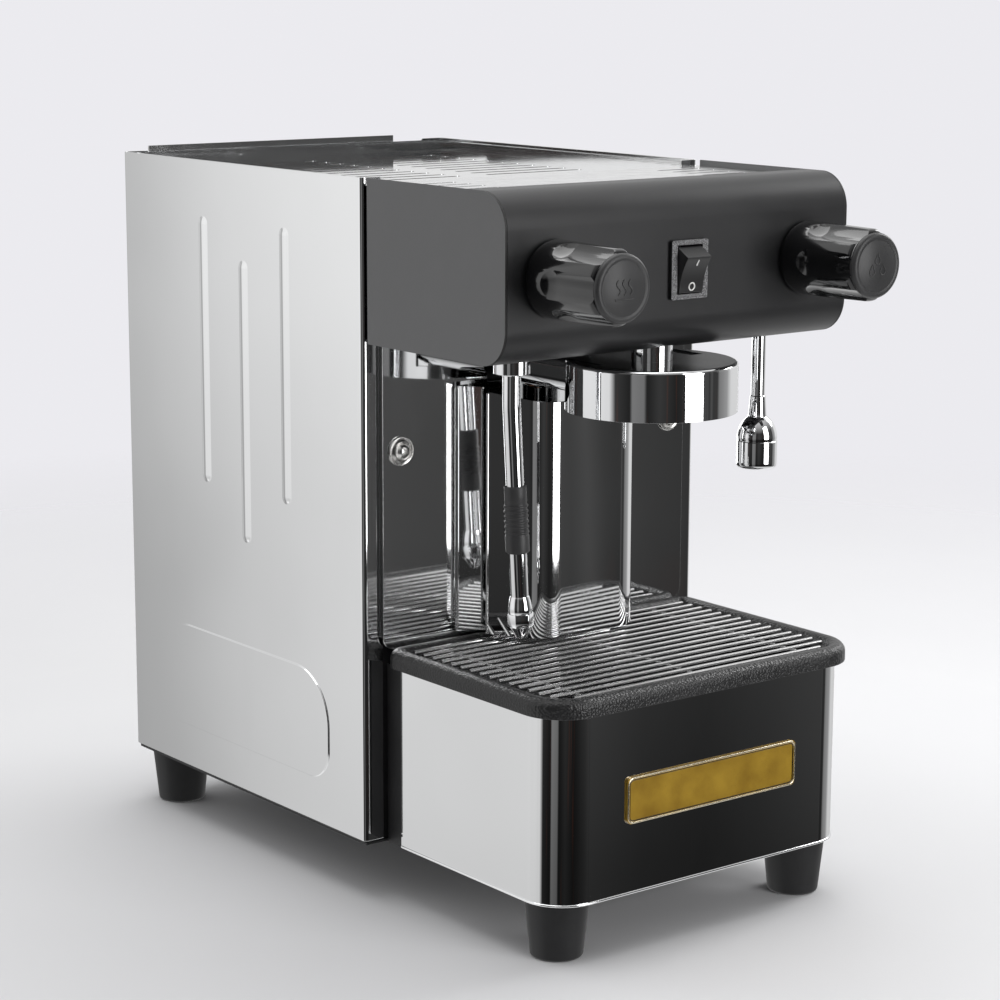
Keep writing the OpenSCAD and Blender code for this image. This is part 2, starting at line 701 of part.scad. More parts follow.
// Lift-off tray with raised edges and rows of drain slots
module cup_tray() color("#c6c8cb") {
    half = inner_half - 0.9;
    y0 = upright_y1 - 1;
    y1 = rear_wall_y1;
    z0 = body_top - cup_recess - sheet_t;
    difference() {
        slab(-half, half, y0, y1, z0, z0 + sheet_t);
        mid = (y0 + y1) / 2;
        for (i = [0:slot_rows - 1], s = [-1, 1])
            translate([s * (slot_len / 2 + 10), mid + (i - (slot_rows - 1) / 2) * slot_pitch, z0 - 1])
                linear_extrude(sheet_t + 2)
                    soft_rect(-slot_len / 2, slot_len / 2, -slot_w / 2, slot_w / 2,
                        slot_w * 0.48, slot_w * 0.48);
    }
    slab(-half, half, y0, y0 + sheet_t, z0, z0 + 4.4);
    slab(-half, half, y1 - sheet_t, y1, z0, body_top + 3.2);
    for (s = [-1, 1]) {
        edge = s * half;
        slab(min(edge, edge - s * sheet_t), max(edge, edge - s * sheet_t), y0, y1, z0, z0 + cup_recess - 1);
    }
}

// Fixed steel strip between the cup tray and the head's black cover
module head_top_plate() color("#d9dadc") difference() {
    y0 = -head_reach + cover_top_wrap + fit;
    z1 = body_top - top_plate_drop;
    half = cover_half - fit;
    union() {
        slab(-half, half, y0, -fit, z1 - sheet_t, z1);
        slab(-half, half, y0, y0 + sheet_t, z1 - 12, z1);
    }
    for (s = [-1, 1], i = [0:3])
        translate([s * (half - 32), -22 - 14 * i, z1 - sheet_t - 1]) linear_extrude(sheet_t + 2)
            soft_rect(-18, 18, -1.6, 1.6, 1.5, 1.5);
}

// ---------------------------------------------------------------- head

// Side view of the head's outline: x is y, y is z
module head_outline(inset)
    soft_rect_side(-head_reach + inset, -head_gap + 40, head_z0 + inset, body_top - inset, head_r - inset);

// A rectangle with round corners at its low-x side only
module soft_rect_side(x0, x1, y0, y1, r) {
    translate([x0 + r, y0]) square([x1 - x0 - r, y1 - y0]);
    translate([x0, y0 + r]) square([r, y1 - y0 - 2 * r]);
    for (y = [y0 + r, y1 - r]) translate([x0 + r, y]) circle(r);
}

// Inner plates that carry the head from the upright, with spacers out to its side plates
module head_frame() color("#2a2b2e") {
    inner_x = knob_pitch / 2 + valve_nut_r + valve_room;
    low_z = splash_z1 + 2;
    high_z = body_top - top_plate_drop - sheet_t - 2 * hair;
    spacer_r = 4;
    for (s = [-1, 1]) {
        slab(min(s * inner_x, s * (inner_x - head_t)), max(s * inner_x, s * (inner_x - head_t)),
            -head_reach + cover_top_wrap + sheet_t + 2 * fit, upright_y0 - hair, low_z, high_z);
        slab(min(s * inner_x, s * (inner_x - 12)), max(s * inner_x, s * (inner_x - 12)),
            upright_y0 - hair - head_t, upright_y0 - hair, low_z, high_z);
        for (y = [-head_gap - 14, -head_reach + cover_top_wrap + 14], z = [low_z + 10, high_z - 12])
            translate([0, y, z]) bar_x(spacer_r, s > 0 ? inner_x - eps : -head_half + head_t + hair,
                s > 0 ? head_half - head_t - hair : -inner_x + eps);
    }
}

// Turns a drawing in (y, z) into a plate that spans x0 to x1
module across(x0, x1) translate([x0, 0, 0]) rotate([90, 0, 90]) linear_extrude(x1 - x0) children();

module head_side(s) color("#55575a")
    across(s > 0 ? head_half - head_t : -head_half, s > 0 ? head_half : -head_half + head_t) intersection() {
        head_outline(0);
        translate([-head_reach - 1, 0]) square([head_reach - head_gap + 1, 1000]);
    }

// Satin black sheet that wraps over the top, down the front and under the head
module head_cover() color("#232325") difference() {
    across(-cover_half, cover_half) difference() {
        intersection() {
            head_outline(0);
            union() {
                translate([-head_reach - 1, 0]) square([cover_top_wrap + 1, 1000]);
                translate([-head_reach - 1, 0]) square([head_reach - head_gap + 1, head_z0 + head_h / 2]);
            }
        }
        head_outline(head_t);
    }
    for (s = [-1, 1])
        translate([s * knob_pitch / 2, 0, knob_z])
            bar_y(valve_neck_r + fit, -head_reach - 1, -head_reach + 5);
    translate([switch_x, -head_reach - 1, knob_z - 1]) rotate([-90, 0, 0]) linear_extrude(5)
        square([switch_body_w + 2 * fit, switch_body_h + 2 * fit], center = true);
    translate([0, -group_reach, head_z0 - 1]) cylinder(r = group_boss_r + 2, h = 5);
    translate([-spout_pitch / 2, -spout_reach, head_z0 - 1]) cylinder(r = nut_r + fit, h = 5);
    translate([spout_pitch / 2, -spout_reach, head_z0 - 1]) cylinder(r = water_pipe_r + fit, h = 5);
}

// Switch housing: a bezel in front of the panel and a body behind it
module switch_bezel() color("#1a1a1b") translate([switch_x, -head_reach, switch_z]) rotate([90, 0, 0]) {
    lip = 2.6;
    body_deep = 20;
    difference() {
        union() {
            translate([0, 0, hair]) linear_extrude(lip)
                soft_rect(-bezel_w / 2, bezel_w / 2, -bezel_h / 2, bezel_h / 2, 1.5, 1.5);
            translate([-switch_body_w / 2, -switch_body_h / 2, -body_deep])
                cube([switch_body_w, switch_body_h, body_deep + 1]);
        }
        translate([-rocker_w / 2 - fit, -rocker_h / 2 - 0.9, -body_deep + 4])
            cube([rocker_w + 2 * fit, rocker_h + 1.8, body_deep + lip]);
    }
}

// Rocker with a ridge at each end of its hollow face; the upper one stands out of the bezel
module rocker() color("#141415") translate([switch_x, rocker_axis_y, switch_z]) rotate([rocker_tilt, 0, 0])
    across(-rocker_w / 2, rocker_w / 2) difference() {
        end_z = rocker_h / 2 + 0.4;
        hollow_r = 36;
        polygon([[-rocker_out, -rocker_ridge], [-rocker_out, rocker_ridge], [1.7, end_z], [5, 5],
            [5, -5], [1.7, -end_z]]);
        translate([-rocker_out - hollow_r + 1.4, 0]) circle(hollow_r, $fn = 96);
    }

// Valve body: threaded neck through the panel, a hexagon behind it and an outlet below
module valve(s) color("#b8934a") translate([s * knob_pitch / 2, 0, knob_z]) {
    back_y = -spout_reach + 12;
    inlet_y = -spout_reach;
    difference() {
        union() {
            bar_y(valve_neck_r, -head_reach - 1, -head_reach + 10);
            translate([0, -head_reach + head_t + hair, 0]) rotate([-90, 0, 0])
                cylinder(r = valve_nut_r, h = 8, $fn = 6);
            bar_y(9.5, -head_reach + 9, back_y);
            translate([0, inlet_y, 0]) bar_z(valve_drop_r + 1.5, -knob_rise + valve_drop, 0);
            translate([0, back_y - 6, 0]) bar_z(pipe_r + 2, 0, 14);
        }
        bar_y(spindle_r + spindle_play, -head_reach - 2, back_y - 9);
    }
}

// Spindle that a knob turns
module spindle(s) color("#c9b06a") translate([s * knob_pitch / 2, 0, knob_z])
    bar_y(spindle_r, -head_reach - knob_gap - socket_depth + 1, -spout_reach + 2);

// Knob: tapered barrel with round-ended finger recesses that run out at its cap
module knob(s) color("#0e0e0f")
translate([s * knob_pitch / 2, -head_reach - knob_gap, knob_z]) rotate([90, 0, 0]) difference() {
    rotate_extrude() difference() {
        union() {
            polygon([[0, 0], [knob_r - 2, 0], [knob_r, 2], [knob_r, 4], [knob_tip_r, knob_body_len - 3],
                [knob_tip_r - 3, knob_body_len], [0, knob_body_len]]);
            translate([knob_tip_r - 3, knob_body_len - 3]) circle(3);
        }
        translate([-50, -10]) square([50, 100]);
        translate([-1, -1]) square([spindle_r + hair + 1, socket_depth + 1]);
        // Hollow round the socket, open towards the panel
        translate([spindle_r + 4, -1]) square([knob_r - spindle_r - 8, 9]);
    }
    for (i = [0:knob_flutes - 1]) rotate([0, 0, i * 360 / knob_flutes])
        translate([knob_tip_r + flute_r - flute_depth, 0, flute_start + flute_half]) {
            cylinder(r = flute_r, h = knob_body_len);
            sphere(flute_r);
        }
}

// Matte rubber disc in the end of a knob
module knob_cap(s) color("#262627")
    translate([s * knob_pitch / 2, -knob_reach + cap_t, knob_z]) rotate([90, 0, 0])
    rotate_extrude() difference() {
        union() {
            translate([0, hair]) square([cap_r - 1.2, cap_t - hair]);
            translate([0, hair]) square([cap_r, cap_t - 1.2 - hair]);
            translate([cap_r - 1.2, cap_t - 1.2]) circle(1.2);
        }
        translate([-5, -5]) square([5, 20]);
    }

// ---------------------------------------------------------------- brewing group

// Casting: neck from the body, round head and the collar that takes the filter holder
module group_body() color("#b4b6b9") {
    ring_r = bell_r - bell_edge_r - 0.6;
    lug_half = collar_r * sin(lug_gap / 2);
    lug_reach = collar_r + 4;
    difference() {
        union() {
            translate([0, -group_reach, bell_z0 + 0.6]) cylinder(r = ring_r, h = bell_h - bell_t - 1.6);
            translate([0, -splash_proud - 6, 0]) rotate([90, 0, 0])
                linear_extrude(group_reach - splash_proud - 6)
                    soft_rect(-neck_w / 2, neck_w / 2, neck_z0, neck_z1, neck_h * 0.45, neck_h * 0.3);
            translate([0, 0, neck_z]) bar_y(throat_r, -splash_proud - 7, upright_y1 + 7);
            translate([0, -group_reach, bell_z1 - 4]) cylinder(r = group_boss_r, h = bell_gap + 10);
        }
        // Mouth of the collar and the channel above its lip
        translate([0, -group_reach, bell_z0 - 1]) cylinder(r = collar_r, h = plate_z - bell_z0 + 1);
        translate([0, -group_reach, bell_z0 + 0.6 + collar_lip])
            cylinder(r = collar_r + 5, h = plate_z - bell_z0 - 0.6 - collar_lip);
        // Two gaps in the lip let the lugs in
        translate([0, -group_reach, bell_z0 - 1])
            slab(-lug_reach, lug_reach, -lug_half, lug_half, 0, collar_lip + 3);
    }
}

// Chromed ring round the group, rounded at its top edge and closed over the casting
module group_bell() color("#d2d4d7") translate([0, -group_reach, 0]) {
    edge_r = bell_edge_r;
    difference() {
        rotate_extrude() difference() {
            union() {
                translate([0, bell_z0]) square([bell_r, bell_h - edge_r]);
                translate([0, bell_z0]) square([bell_r - edge_r, bell_h]);
                translate([bell_r - edge_r, bell_z1 - edge_r]) circle(edge_r);
            }
            translate([-1, bell_z0 - 1]) square([bell_r - bell_t + 1, bell_h - bell_t - 2.6]);
            translate([-1, bell_z0 - 1]) square([bell_r - edge_r + 1, bell_h - bell_t + 1]);
            translate([-10, 0]) square([10, 1000]);
            translate([-1, bell_z0]) square([group_boss_r + 0.3 + 1, bell_h + 5]);
        }
        // Way out for the neck
        slab(-neck_w / 2 - 1, neck_w / 2 + 1, 0, bell_r + 5, neck_z0 - 1, bell_z1 + 1);
    }
}

// Rubber ring that the filter holder presses on
module group_gasket() color("#1f1f20") translate([0, -group_reach, plate_z - gasket_h - hair]) difference() {
    cylinder(r = collar_r - 0.6, h = gasket_h);
    translate([0, 0, -1]) cylinder(r = screen_r + 0.4, h = gasket_h + 2);
}

// Perforated screen under the group
module shower_screen() color("#c2c4c6") translate([0, -group_reach, 0]) difference() {
    union() {
        bar_z(screen_r, plate_z - gasket_h, plate_z - gasket_h + 1);
        difference() {
            bar_z(screen_r, plate_z - gasket_h, plate_z - hair);
            bar_z(screen_r - 1, plate_z - gasket_h - 1, plate_z);
        }
        bar_z(6, plate_z - gasket_h, plate_z - hair);
    }
    bar_z(2.6, plate_z - gasket_h - 1, plate_z + 1);
    for (ring = [1:3], i = [0:6 * ring - 1]) rotate([0, 0, i * 60 / ring])
        translate([4 + ring * 6.4, 0, 0]) bar_z(1, plate_z - gasket_h - 1, plate_z - gasket_h + 2);
}

module shower_screw() color("#a9abae") translate([0, -group_reach, 0]) {
    bar_z(4.5, plate_z - gasket_h - 2.6, plate_z - gasket_h - hair);
    bar_z(2.4, plate_z - gasket_h - 1, plate_z - hair);
}

// ---------------------------------------------------------------- steam wand and nozzle

// Nut under the head that holds the wand's ball, with its pipe up to the valve
module wand_nut() color("#c4c6c9") translate([-spout_pitch / 2, -spout_reach, 0]) {
    wall_r = ball_r + seat_t + 2 * hair;
    difference() {
        union() {
            bar_z(nut_r, ball_z - 5, ball_z - 5 + nut_h);
            bar_z(valve_drop_r, ball_z + 10, head_z0 + valve_drop - hair);
        }
        translate([0, 0, ball_z]) sphere(wall_r);
        bar_z(wall_r - 1.2, ball_z - 6, ball_z - 2);
    }
}

// Slippery seat that turns with the wand and lets its ball tilt
module wand_seat() color("#e8e6df") translate([-spout_pitch / 2, -spout_reach, ball_z]) difference() {
    sphere(ball_r + hair + seat_t);
    sphere(ball_r + hair);
    translate([0, 0, -20]) cylinder(r = 20, h = 16.4);
    bar_z(4, 0, 20);
}

// Places its children below the wand's bend, hanging from z = 0 towards -z
module below_bend() translate([-spout_pitch / 2 + wand_bend_r, -spout_reach, wand_bend_z])
    rotate([0, -wand_lean, 0]) translate([-wand_bend_r, 0, 0]) children();

module steam_wand() color("#d0d2d5") {
    translate([-spout_pitch / 2, -spout_reach, 0]) {
        translate([0, 0, ball_z]) difference() {
            sphere(ball_r);
            bar_z(ball_r, ball_r - 1.2, ball_r + 1);
        }
        bar_z(wand_tube_r, wand_bend_z, ball_z - 4);
        translate([wand_bend_r, 0, wand_bend_z]) rotate([90, 0, 0]) rotate_extrude(angle = wand_lean)
            translate([-wand_bend_r, 0]) circle(wand_tube_r);
    }
    below_bend() bar_z(wand_tube_r, -lower_len + tip_len * 0.7, 0);
}

// Ribbed rubber sleeve
module wand_grip() color("#161617") below_bend() {
    tail = 25.5;
    z1 = -lower_len + tip_len + tail + grip_len;
    rib = grip_len / 13;
    difference() {
        union() {
            bar_z(grip_r, z1 - grip_len * 0.32, z1);
            bar_z(grip_r - 0.9, z1 - grip_len, z1);
            bar_z(grip_r, z1 - grip_len, z1 - grip_len * 0.76);
            for (i = [0:2])
                translate([0, 0, z1 - grip_len * 0.68 + i * 2 * rib]) cylinder(r = grip_r - 0.1, h = rib);
        }
        bar_z(wand_tube_r + hair, z1 - grip_len - 1, z1 + 1);
    }
}

// Tip with two spanner flats and a tapered, holed end
module wand_tip() color("#d4d6d8") below_bend() translate([0, 0, -lower_len]) difference() {
    cone_h = tip_len * 0.27;
    flare_z = tip_len * 0.6;
    union() {
        cylinder(r1 = tip_r * 0.45, r2 = tip_r, h = cone_h);
        translate([0, 0, cone_h - eps]) cylinder(r = tip_r, h = flare_z - cone_h);
        translate([0, 0, flare_z - 2 * eps])
            cylinder(r1 = tip_r, r2 = wand_tube_r + 0.4, h = tip_len - flare_z);
    }
    translate([0, 0, tip_len * 0.7 - hair]) cylinder(r = wand_tube_r + hair, h = tip_len);
    for (s = [-1, 1])
        slab(min(s * (tip_r - 0.8), s * 20), max(s * (tip_r - 0.8), s * 20),
            -20, 20, cone_h + 0.5, flare_z - 0.5);
    for (a = [0:90:270]) rotate([0, 0, a]) translate([tip_r * 0.25, 0, -1]) cylinder(r = 0.7, h = 6);
    translate([0, 0, 4]) cylinder(r = wand_tube_r - 1.5, h = tip_len);
}

module water_pipe() color("#cfd1d4") translate([spout_pitch / 2, -spout_reach, 0])
    bar_z(water_pipe_r, nozzle_z1 - 8, head_z0 + valve_drop - hair);

// Bell-shaped nozzle that screws on to the hot-water pipe
module water_nozzle() color("#d6d8da")
translate([spout_pitch / 2, -spout_reach, nozzle_z1 - nozzle_h]) rotate_extrude() {
    collar_h = 14;
    r = nozzle_r;
    low_h = nozzle_h * 0.36;
    difference() {
        polygon([[0, 0], [r - 2, 0], [r, 2], [r, low_h - 0.4], [r - 0.4, low_h], [r, low_h + 0.4],
            [r * 0.98, low_h + 3.4], [r * 0.88, low_h + 7.6], [r * 0.7, low_h + 11.2],
            [r * 0.46, nozzle_h - collar_h], [r * 0.38, nozzle_h], [0, nozzle_h]]);
        translate([-1, nozzle_h - 8.05]) square([water_pipe_r + hair + 1, 20]);
        translate([-1, -1]) square([r - 1.6 + 1, 10]);
        translate([-1, 8]) square([2 + 1, nozzle_h]);
    }
}

// ---------------------------------------------------------------- inner parts

// Brazed copper shell with a flange to the group's neck and a port for the heating element
module boiler() color("#b8743c") difference() {
    union() {
        translate([0, boiler_y, boiler_z]) {
            bar_x(boiler_r, -boiler_len / 2, boiler_len / 2);
            for (s = [-1, 1]) translate([s * (boiler_len / 2 - 2), 0, 0]) bar_x(boiler_r + 2.5, -3, 3);
        }
        translate([0, 0, neck_z]) bar_y(flange_r, upright_y1 + hair, boiler_y - boiler_r * 0.6);
    }
    translate([0, 0, neck_z]) bar_y(throat_r + fit, upright_y1 - 1, upright_y1 + 7.2);
    translate([0, boiler_y, boiler_z]) {
        bar_x(boiler_r - boiler_t, -boiler_len / 2 + boiler_t, boiler_len / 2 - boiler_t - 1);
        bar_x(element_port_r, 0, boiler_len);
    }
}

module heating_element() color("#a7a9ab") translate([boiler_len / 2 + 1 + hair, boiler_y, boiler_z]) {
    loop = boiler_len - 40;
    bar_x(element_port_r + 6, 0, 4);
    bar_x(12, 3, 12);
    for (y = [-14, 14]) translate([0, y, 0]) {
        bar_x(2.5, 3, 18);
        bar_x(4, -loop, 1);
    }
    translate([-loop + 4, 0, 0]) bar_y(3.6, -14, 14);
}

module pump() color("#6c6f73") translate([0, pump_y, pump_z]) {
    half = pump_side / 2;
    slab(-half - 2, half + 2, -half, half, -half, half);
    bar_y(14, -pump_len / 2 + 12, pump_len / 2 - 12);
    bar_y(5, -pump_len / 2, pump_len / 2);
}

// Rubber blocks between the pump and the floor
module pump_mounts() color("#232324") for (s = [-1, 1])
    translate([s * pump_side / 3, pump_y, 0]) bar_z(7, floor_top + hair, pump_z - pump_side / 2 - hair);

// Bent shelf on two legs
module tank_bracket() color("#8f9194") {
    half = tank_w / 2 + 3;
    difference() {
        slab(-half, half, tank_y0, tank_y1, tank_z0 - 1.6, tank_z0 - hair);
        translate([0, tank_y0 + 30, 0]) bar_z(hose_r + 0.6, tank_z0 - 3, tank_z0 + 1);
    }
    leg_x = rear_foot_pitch / 2 - 12;
    for (s = [-1, 1]) slab(min(s * leg_x, s * (leg_x - 1.5)), max(s * leg_x, s * (leg_x - 1.5)),
        tank_y0, tank_y1, floor_top + hair, tank_z0 - 1);
}

module water_tank() color("#dfe6ea") difference() {
    translate([0, 0, tank_z0]) linear_extrude(tank_h)
        soft_rect(-tank_w / 2, tank_w / 2, tank_y0, tank_y1, 10, 10);
    translate([0, 0, tank_z0 + 2.5]) linear_extrude(tank_h)
        soft_rect(-tank_w / 2 + 2.5, tank_w / 2 - 2.5, tank_y0 + 2.5, tank_y1 - 2.5, 8, 8);
}

module tank_lid() color("#c9d0d4") difference() {
    translate([0, 0, tank_z1 + hair]) linear_extrude(4)
        soft_rect(-tank_w / 2, tank_w / 2, tank_y0, tank_y1, 10, 10);
    translate([0, (tank_y0 + tank_y1) / 2, tank_z1 - 1]) bar_z(22, 0, 10);
}

module solenoid_valve() color("#44474b") translate([solenoid_x, 0, lower_row_z]) {
    slab(-14, 14, upright_y1 + hair, upright_y1 + 28, -14, 14);
    translate([0, upright_y1 + 16, 0]) bar_z(16, 13, 36);
}

module pressurestat() color("#c9c9c4") translate([-solenoid_x, 0, lower_row_z]) {
    slab(-20, 20, upright_y1 + hair, upright_y1 + 24, -14, 14);
    translate([0, upright_y1 + 12, 0]) bar_z(11, 13, 22);
}

// Copper pipes from the boiler's top, through the upright, down into the two valves
module valve_feed_pipes() color("#c07a44") for (s = [-1, 1]) {
    valve_y = -spout_reach + 6;
    tap_x = s * 40;
    pipe([[tap_x, boiler_y, boiler_z + boiler_r + 0.1], [tap_x, boiler_y, valve_pipe_z],
        [s * valve_pipe_x, boiler_y, valve_pipe_z], [s * valve_pipe_x, valve_y, valve_pipe_z],
        [s * knob_pitch / 2, valve_y, valve_pipe_z],
        [s * knob_pitch / 2, valve_y, knob_z + 14 + hair]], pipe_r);
}

module boiler_feed_pipe() color("#c07a44") {
    start_y = pump_y - pump_len / 2 - hair;
    rise_y = start_y - 2 * pipe_r;
    bend_z = boiler_z - boiler_r - 20;
    pipe([[0, start_y, pump_z], [0, rise_y, pump_z], [0, rise_y, bend_z], [0, boiler_y, bend_z],
        [0, boiler_y, boiler_z - boiler_r - 0.1]], pipe_r);
}

module suction_hose() color("#d8dcdc") {
    drop_y = tank_y0 + 30;
    start_y = pump_y + pump_len / 2 + hair;
    pipe([[0, start_y, pump_z], [0, drop_y, pump_z], [0, drop_y, tank_z0 - hair]], hose_r);
}

// Clamp collar for the mains cable, screwed into the rear wall
module cable_gland() color("#202021") translate([gland_x, 0, gland_z]) difference() {
    union() {
        bar_y(gland_hole_r - 0.2, rear_wall_y0 - 8, body_d - 0.4);
        translate([0, rear_wall_y1 + hair, 0]) rotate([-90, 0, 0])
            cylinder(r = 13, h = back_reach - rear_wall_y1 - hair, $fn = 6);
        translate([0, rear_wall_y0 - hair - 4, 0]) rotate([-90, 0, 0]) cylinder(r = 12.5, h = 4, $fn = 6);
    }
    bar_y(cable_bore_r, rear_wall_y0 - 10, back_reach + 1);
}

placed() chassis_floor();
placed() base_frame();
placed() front_upright();
placed() side_panel(-1);  // side_panel_left
placed() side_panel(1);  // side_panel_right
placed() rear_wall();
placed() rear_screws();
placed() splash_panel();
placed() splash_screws();
placed() pillar_cover();
placed() cup_tray();
placed() head_top_plate();
placed() head_cover();
placed() head_side(-1);  // head_side_left
placed() head_side(1);  // head_side_right
placed() switch_bezel();
placed() rocker();
placed() valve(-1);  // steam_valve
placed() valve(1);  // water_valve
placed() spindle(-1);  // steam_spindle
placed() spindle(1);  // water_spindle
placed() knob(-1);  // steam_knob
placed() knob(1);  // water_knob
placed() knob_cap(-1);  // steam_knob_cap
placed() knob_cap(1);  // water_knob_cap
placed() group_body();
placed() group_bell();
placed() group_gasket();
placed() shower_screen();
placed() shower_screw();
placed() wand_nut();
placed() wand_seat();
placed() steam_wand();
placed() wand_grip();
placed() wand_tip();
placed() water_pipe();
placed() water_nozzle();
placed() base_shell();
placed() badge_plate();
placed() drip_tray();
placed() drip_grill();
placed() foot(foot_places()[0]);  // foot_front_left
placed() foot(foot_places()[1]);  // foot_front_right
placed() foot(foot_places()[2]);  // foot_rear_left
placed() foot(foot_places()[3]);  // foot_rear_right
placed() foot_screws();
placed() boiler();
placed() heating_element();
placed() pump();
placed() pump_mounts();
placed() tank_bracket();
placed() water_tank();
placed() tank_lid();
placed() solenoid_valve();
placed() pressurestat();
placed() valve_feed_pipes();
placed() boiler_feed_pipe();
placed() suction_hose();
placed() cable_gland();
placed() head_frame();
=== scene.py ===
import json
import math

import bmesh
import bpy
from mathutils import Matrix, Vector

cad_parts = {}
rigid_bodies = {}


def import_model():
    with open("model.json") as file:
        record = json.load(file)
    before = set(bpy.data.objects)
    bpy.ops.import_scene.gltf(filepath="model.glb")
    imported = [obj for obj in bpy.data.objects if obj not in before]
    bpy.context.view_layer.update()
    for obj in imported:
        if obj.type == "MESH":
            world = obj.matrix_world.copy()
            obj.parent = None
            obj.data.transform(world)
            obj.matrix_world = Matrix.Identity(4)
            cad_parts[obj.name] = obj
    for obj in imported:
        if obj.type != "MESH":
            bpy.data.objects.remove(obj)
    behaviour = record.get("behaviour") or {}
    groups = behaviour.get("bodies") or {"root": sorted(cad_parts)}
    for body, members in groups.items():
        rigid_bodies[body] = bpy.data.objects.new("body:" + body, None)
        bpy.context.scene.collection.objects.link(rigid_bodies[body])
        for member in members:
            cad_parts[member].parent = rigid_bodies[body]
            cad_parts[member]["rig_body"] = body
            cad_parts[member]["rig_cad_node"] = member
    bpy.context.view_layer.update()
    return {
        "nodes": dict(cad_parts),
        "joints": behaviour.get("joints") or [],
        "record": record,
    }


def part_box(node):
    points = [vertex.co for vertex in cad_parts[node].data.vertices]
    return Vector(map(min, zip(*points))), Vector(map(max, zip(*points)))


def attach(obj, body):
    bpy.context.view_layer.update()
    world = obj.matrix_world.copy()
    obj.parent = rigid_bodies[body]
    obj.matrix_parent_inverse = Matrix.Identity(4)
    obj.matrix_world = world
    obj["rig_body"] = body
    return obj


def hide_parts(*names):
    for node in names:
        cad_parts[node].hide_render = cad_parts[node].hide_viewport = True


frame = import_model()
MM = 0.001


# ---------------------------------------------------------------- finishes


def both_ways(operation):
    """The two methods of an operator: with the wire on its left, and with the wire on its right."""

    def on_left(wire, other):
        return wire.finish.add("ShaderNodeMath", {"operation": operation}, {0: wire, 1: other})

    def on_right(wire, other):
        return wire.finish.add("ShaderNodeMath", {"operation": operation}, {0: other, 1: wire})

    return on_left, on_right


class Wire:
    """One socket of a finish, so that shader maths is written as Python sums."""

    def __init__(self, finish, socket):
        self.finish = finish
        self.socket = socket

    __add__, __radd__ = both_ways("ADD")
    __sub__, __rsub__ = both_ways("SUBTRACT")
    __mul__, __rmul__ = both_ways("MULTIPLY")
    __truediv__, __rtruediv__ = both_ways("DIVIDE")


# Sockets of a Mix node set to colours: the share, the two colours, and their mix
SHARE, ONE, OTHER, MIXED = 0, 6, 7, 2


class Finish:
    """A finish being mixed: a material's node tree, or the world's."""

    def __init__(self, name, kind="materials", coordinates="Object"):
        self.owner = getattr(bpy.data, kind).new(name)
        self.owner.use_nodes = True
        self.tree = self.owner.node_tree
        self.tree.nodes.clear()
        self.place = self.add("ShaderNodeTexCoord", {}, {}, coordinates)

    def add(self, kind, settings, values, out=0):
        """Adds a node of any type: its settings come first, then the values or wires of its sockets."""
        node = self.tree.nodes.new(kind)
        for name, setting in settings.items():
            if name == "stops":
                stops = node.color_ramp.elements
                while len(stops) < len(setting):
                    stops.new(0.5)
                for stop, (position, level) in zip(stops, setting):
                    stop.position = position
                    stop.color = (level, level, level, 1)
            else:
                setattr(node, name, setting)
        for name, value in values.items():
            if isinstance(value, Wire):
                self.tree.links.new(value.socket, node.inputs[name])
            else:
                node.inputs[name].default_value = value
        return Wire(self, node.outputs[out]) if node.outputs else None

    def stretched(self, x, y, z):
        return self.add("ShaderNodeMapping", {}, {"Vector": self.place, "Scale": (x, y, z)})

    def noise(self, scale, detail=3.0, rough=0.5, place=None):
        return self.add(
            "ShaderNodeTexNoise",
            {},
            {"Vector": place or self.place, "Scale": scale, "Detail": detail, "Roughness": rough},
        )

    def pebbles(self, scale, out="Distance"):
        values = {"Vector": self.place, "Scale": scale}
        return self.add("ShaderNodeTexVoronoi", {"feature": "F1"}, values, out)

    def span(self, value, low, high, to_low, to_high):
        """Carries a value from one range over to another, and stops it at both ends."""
        return self.add(
            "ShaderNodeMapRange",
            {"clamp": True},
            {"Value": value, "From Min": low, "From Max": high, "To Min": to_low, "To Max": to_high},
        )

    def blend(self, share, one, other):
        one = one if isinstance(one, Wire) else (*one, 1)
        other = other if isinstance(other, Wire) else (*other, 1)
        return self.add("ShaderNodeMix", {"data_type": "RGBA"}, {SHARE: share, ONE: one, OTHER: other}, MIXED)

    def bump(self, height, depth):
        return self.add("ShaderNodeBump", {}, {"Height": height, "Distance": depth}, "Normal")

    def done(self, **values):
        """Feeds the one shader; an underline in a socket's name stands for a space."""
        sockets = {name.replace("_", " "): value for name, value in values.items()}
        shader = self.add("ShaderNodeBsdfPrincipled", {}, sockets, "BSDF")
        self.add("ShaderNodeOutputMaterial", {}, {"Surface": shader})
        return self.owner


def polished_sheet(name, tone, wave, haze):
    """Polished sheet: slow waves from the rolling, wiped smears and hair scratches."""
    f = Finish(name)
    smears = f.span(f.noise(38, 4, 0.6, f.stretched(1, 1, 0.35)), 0.5, 0.75, 0, 1)
    hairs = f.span(f.noise(900, 2, 0.5, f.stretched(1, 1, 0.03)), 0.62, 0.7, 0, 1)
    shade = f.span(f.noise(9, 2), 0.3, 0.7, 0, 1)
    colour = f.blend(shade, tuple(t * 0.965 for t in tone), tone)
    return f.done(
        Base_Color=colour,
        Metallic=1.0,
        Roughness=haze + smears * 0.035 + hairs * 0.02,
        Normal=f.bump(f.noise(6.5, 1), wave * MM),
    )


def wiped_chrome(name, tone, haze):
    """Plated metal: wiped smears and slightly duller patches."""
    f = Finish(name)
    smears = f.span(f.noise(60, 4, 0.6), 0.48, 0.75, 0, 1)
    dull = f.span(f.noise(14, 2), 0.35, 0.7, 0, 1)
    return f.done(
        Base_Color=f.blend(dull, tone, tuple(t * 0.95 for t in tone)),
        Metallic=1.0,
        Roughness=haze + smears * 0.04,
        Normal=f.bump(f.noise(24, 1), 0.02 * MM),
    )


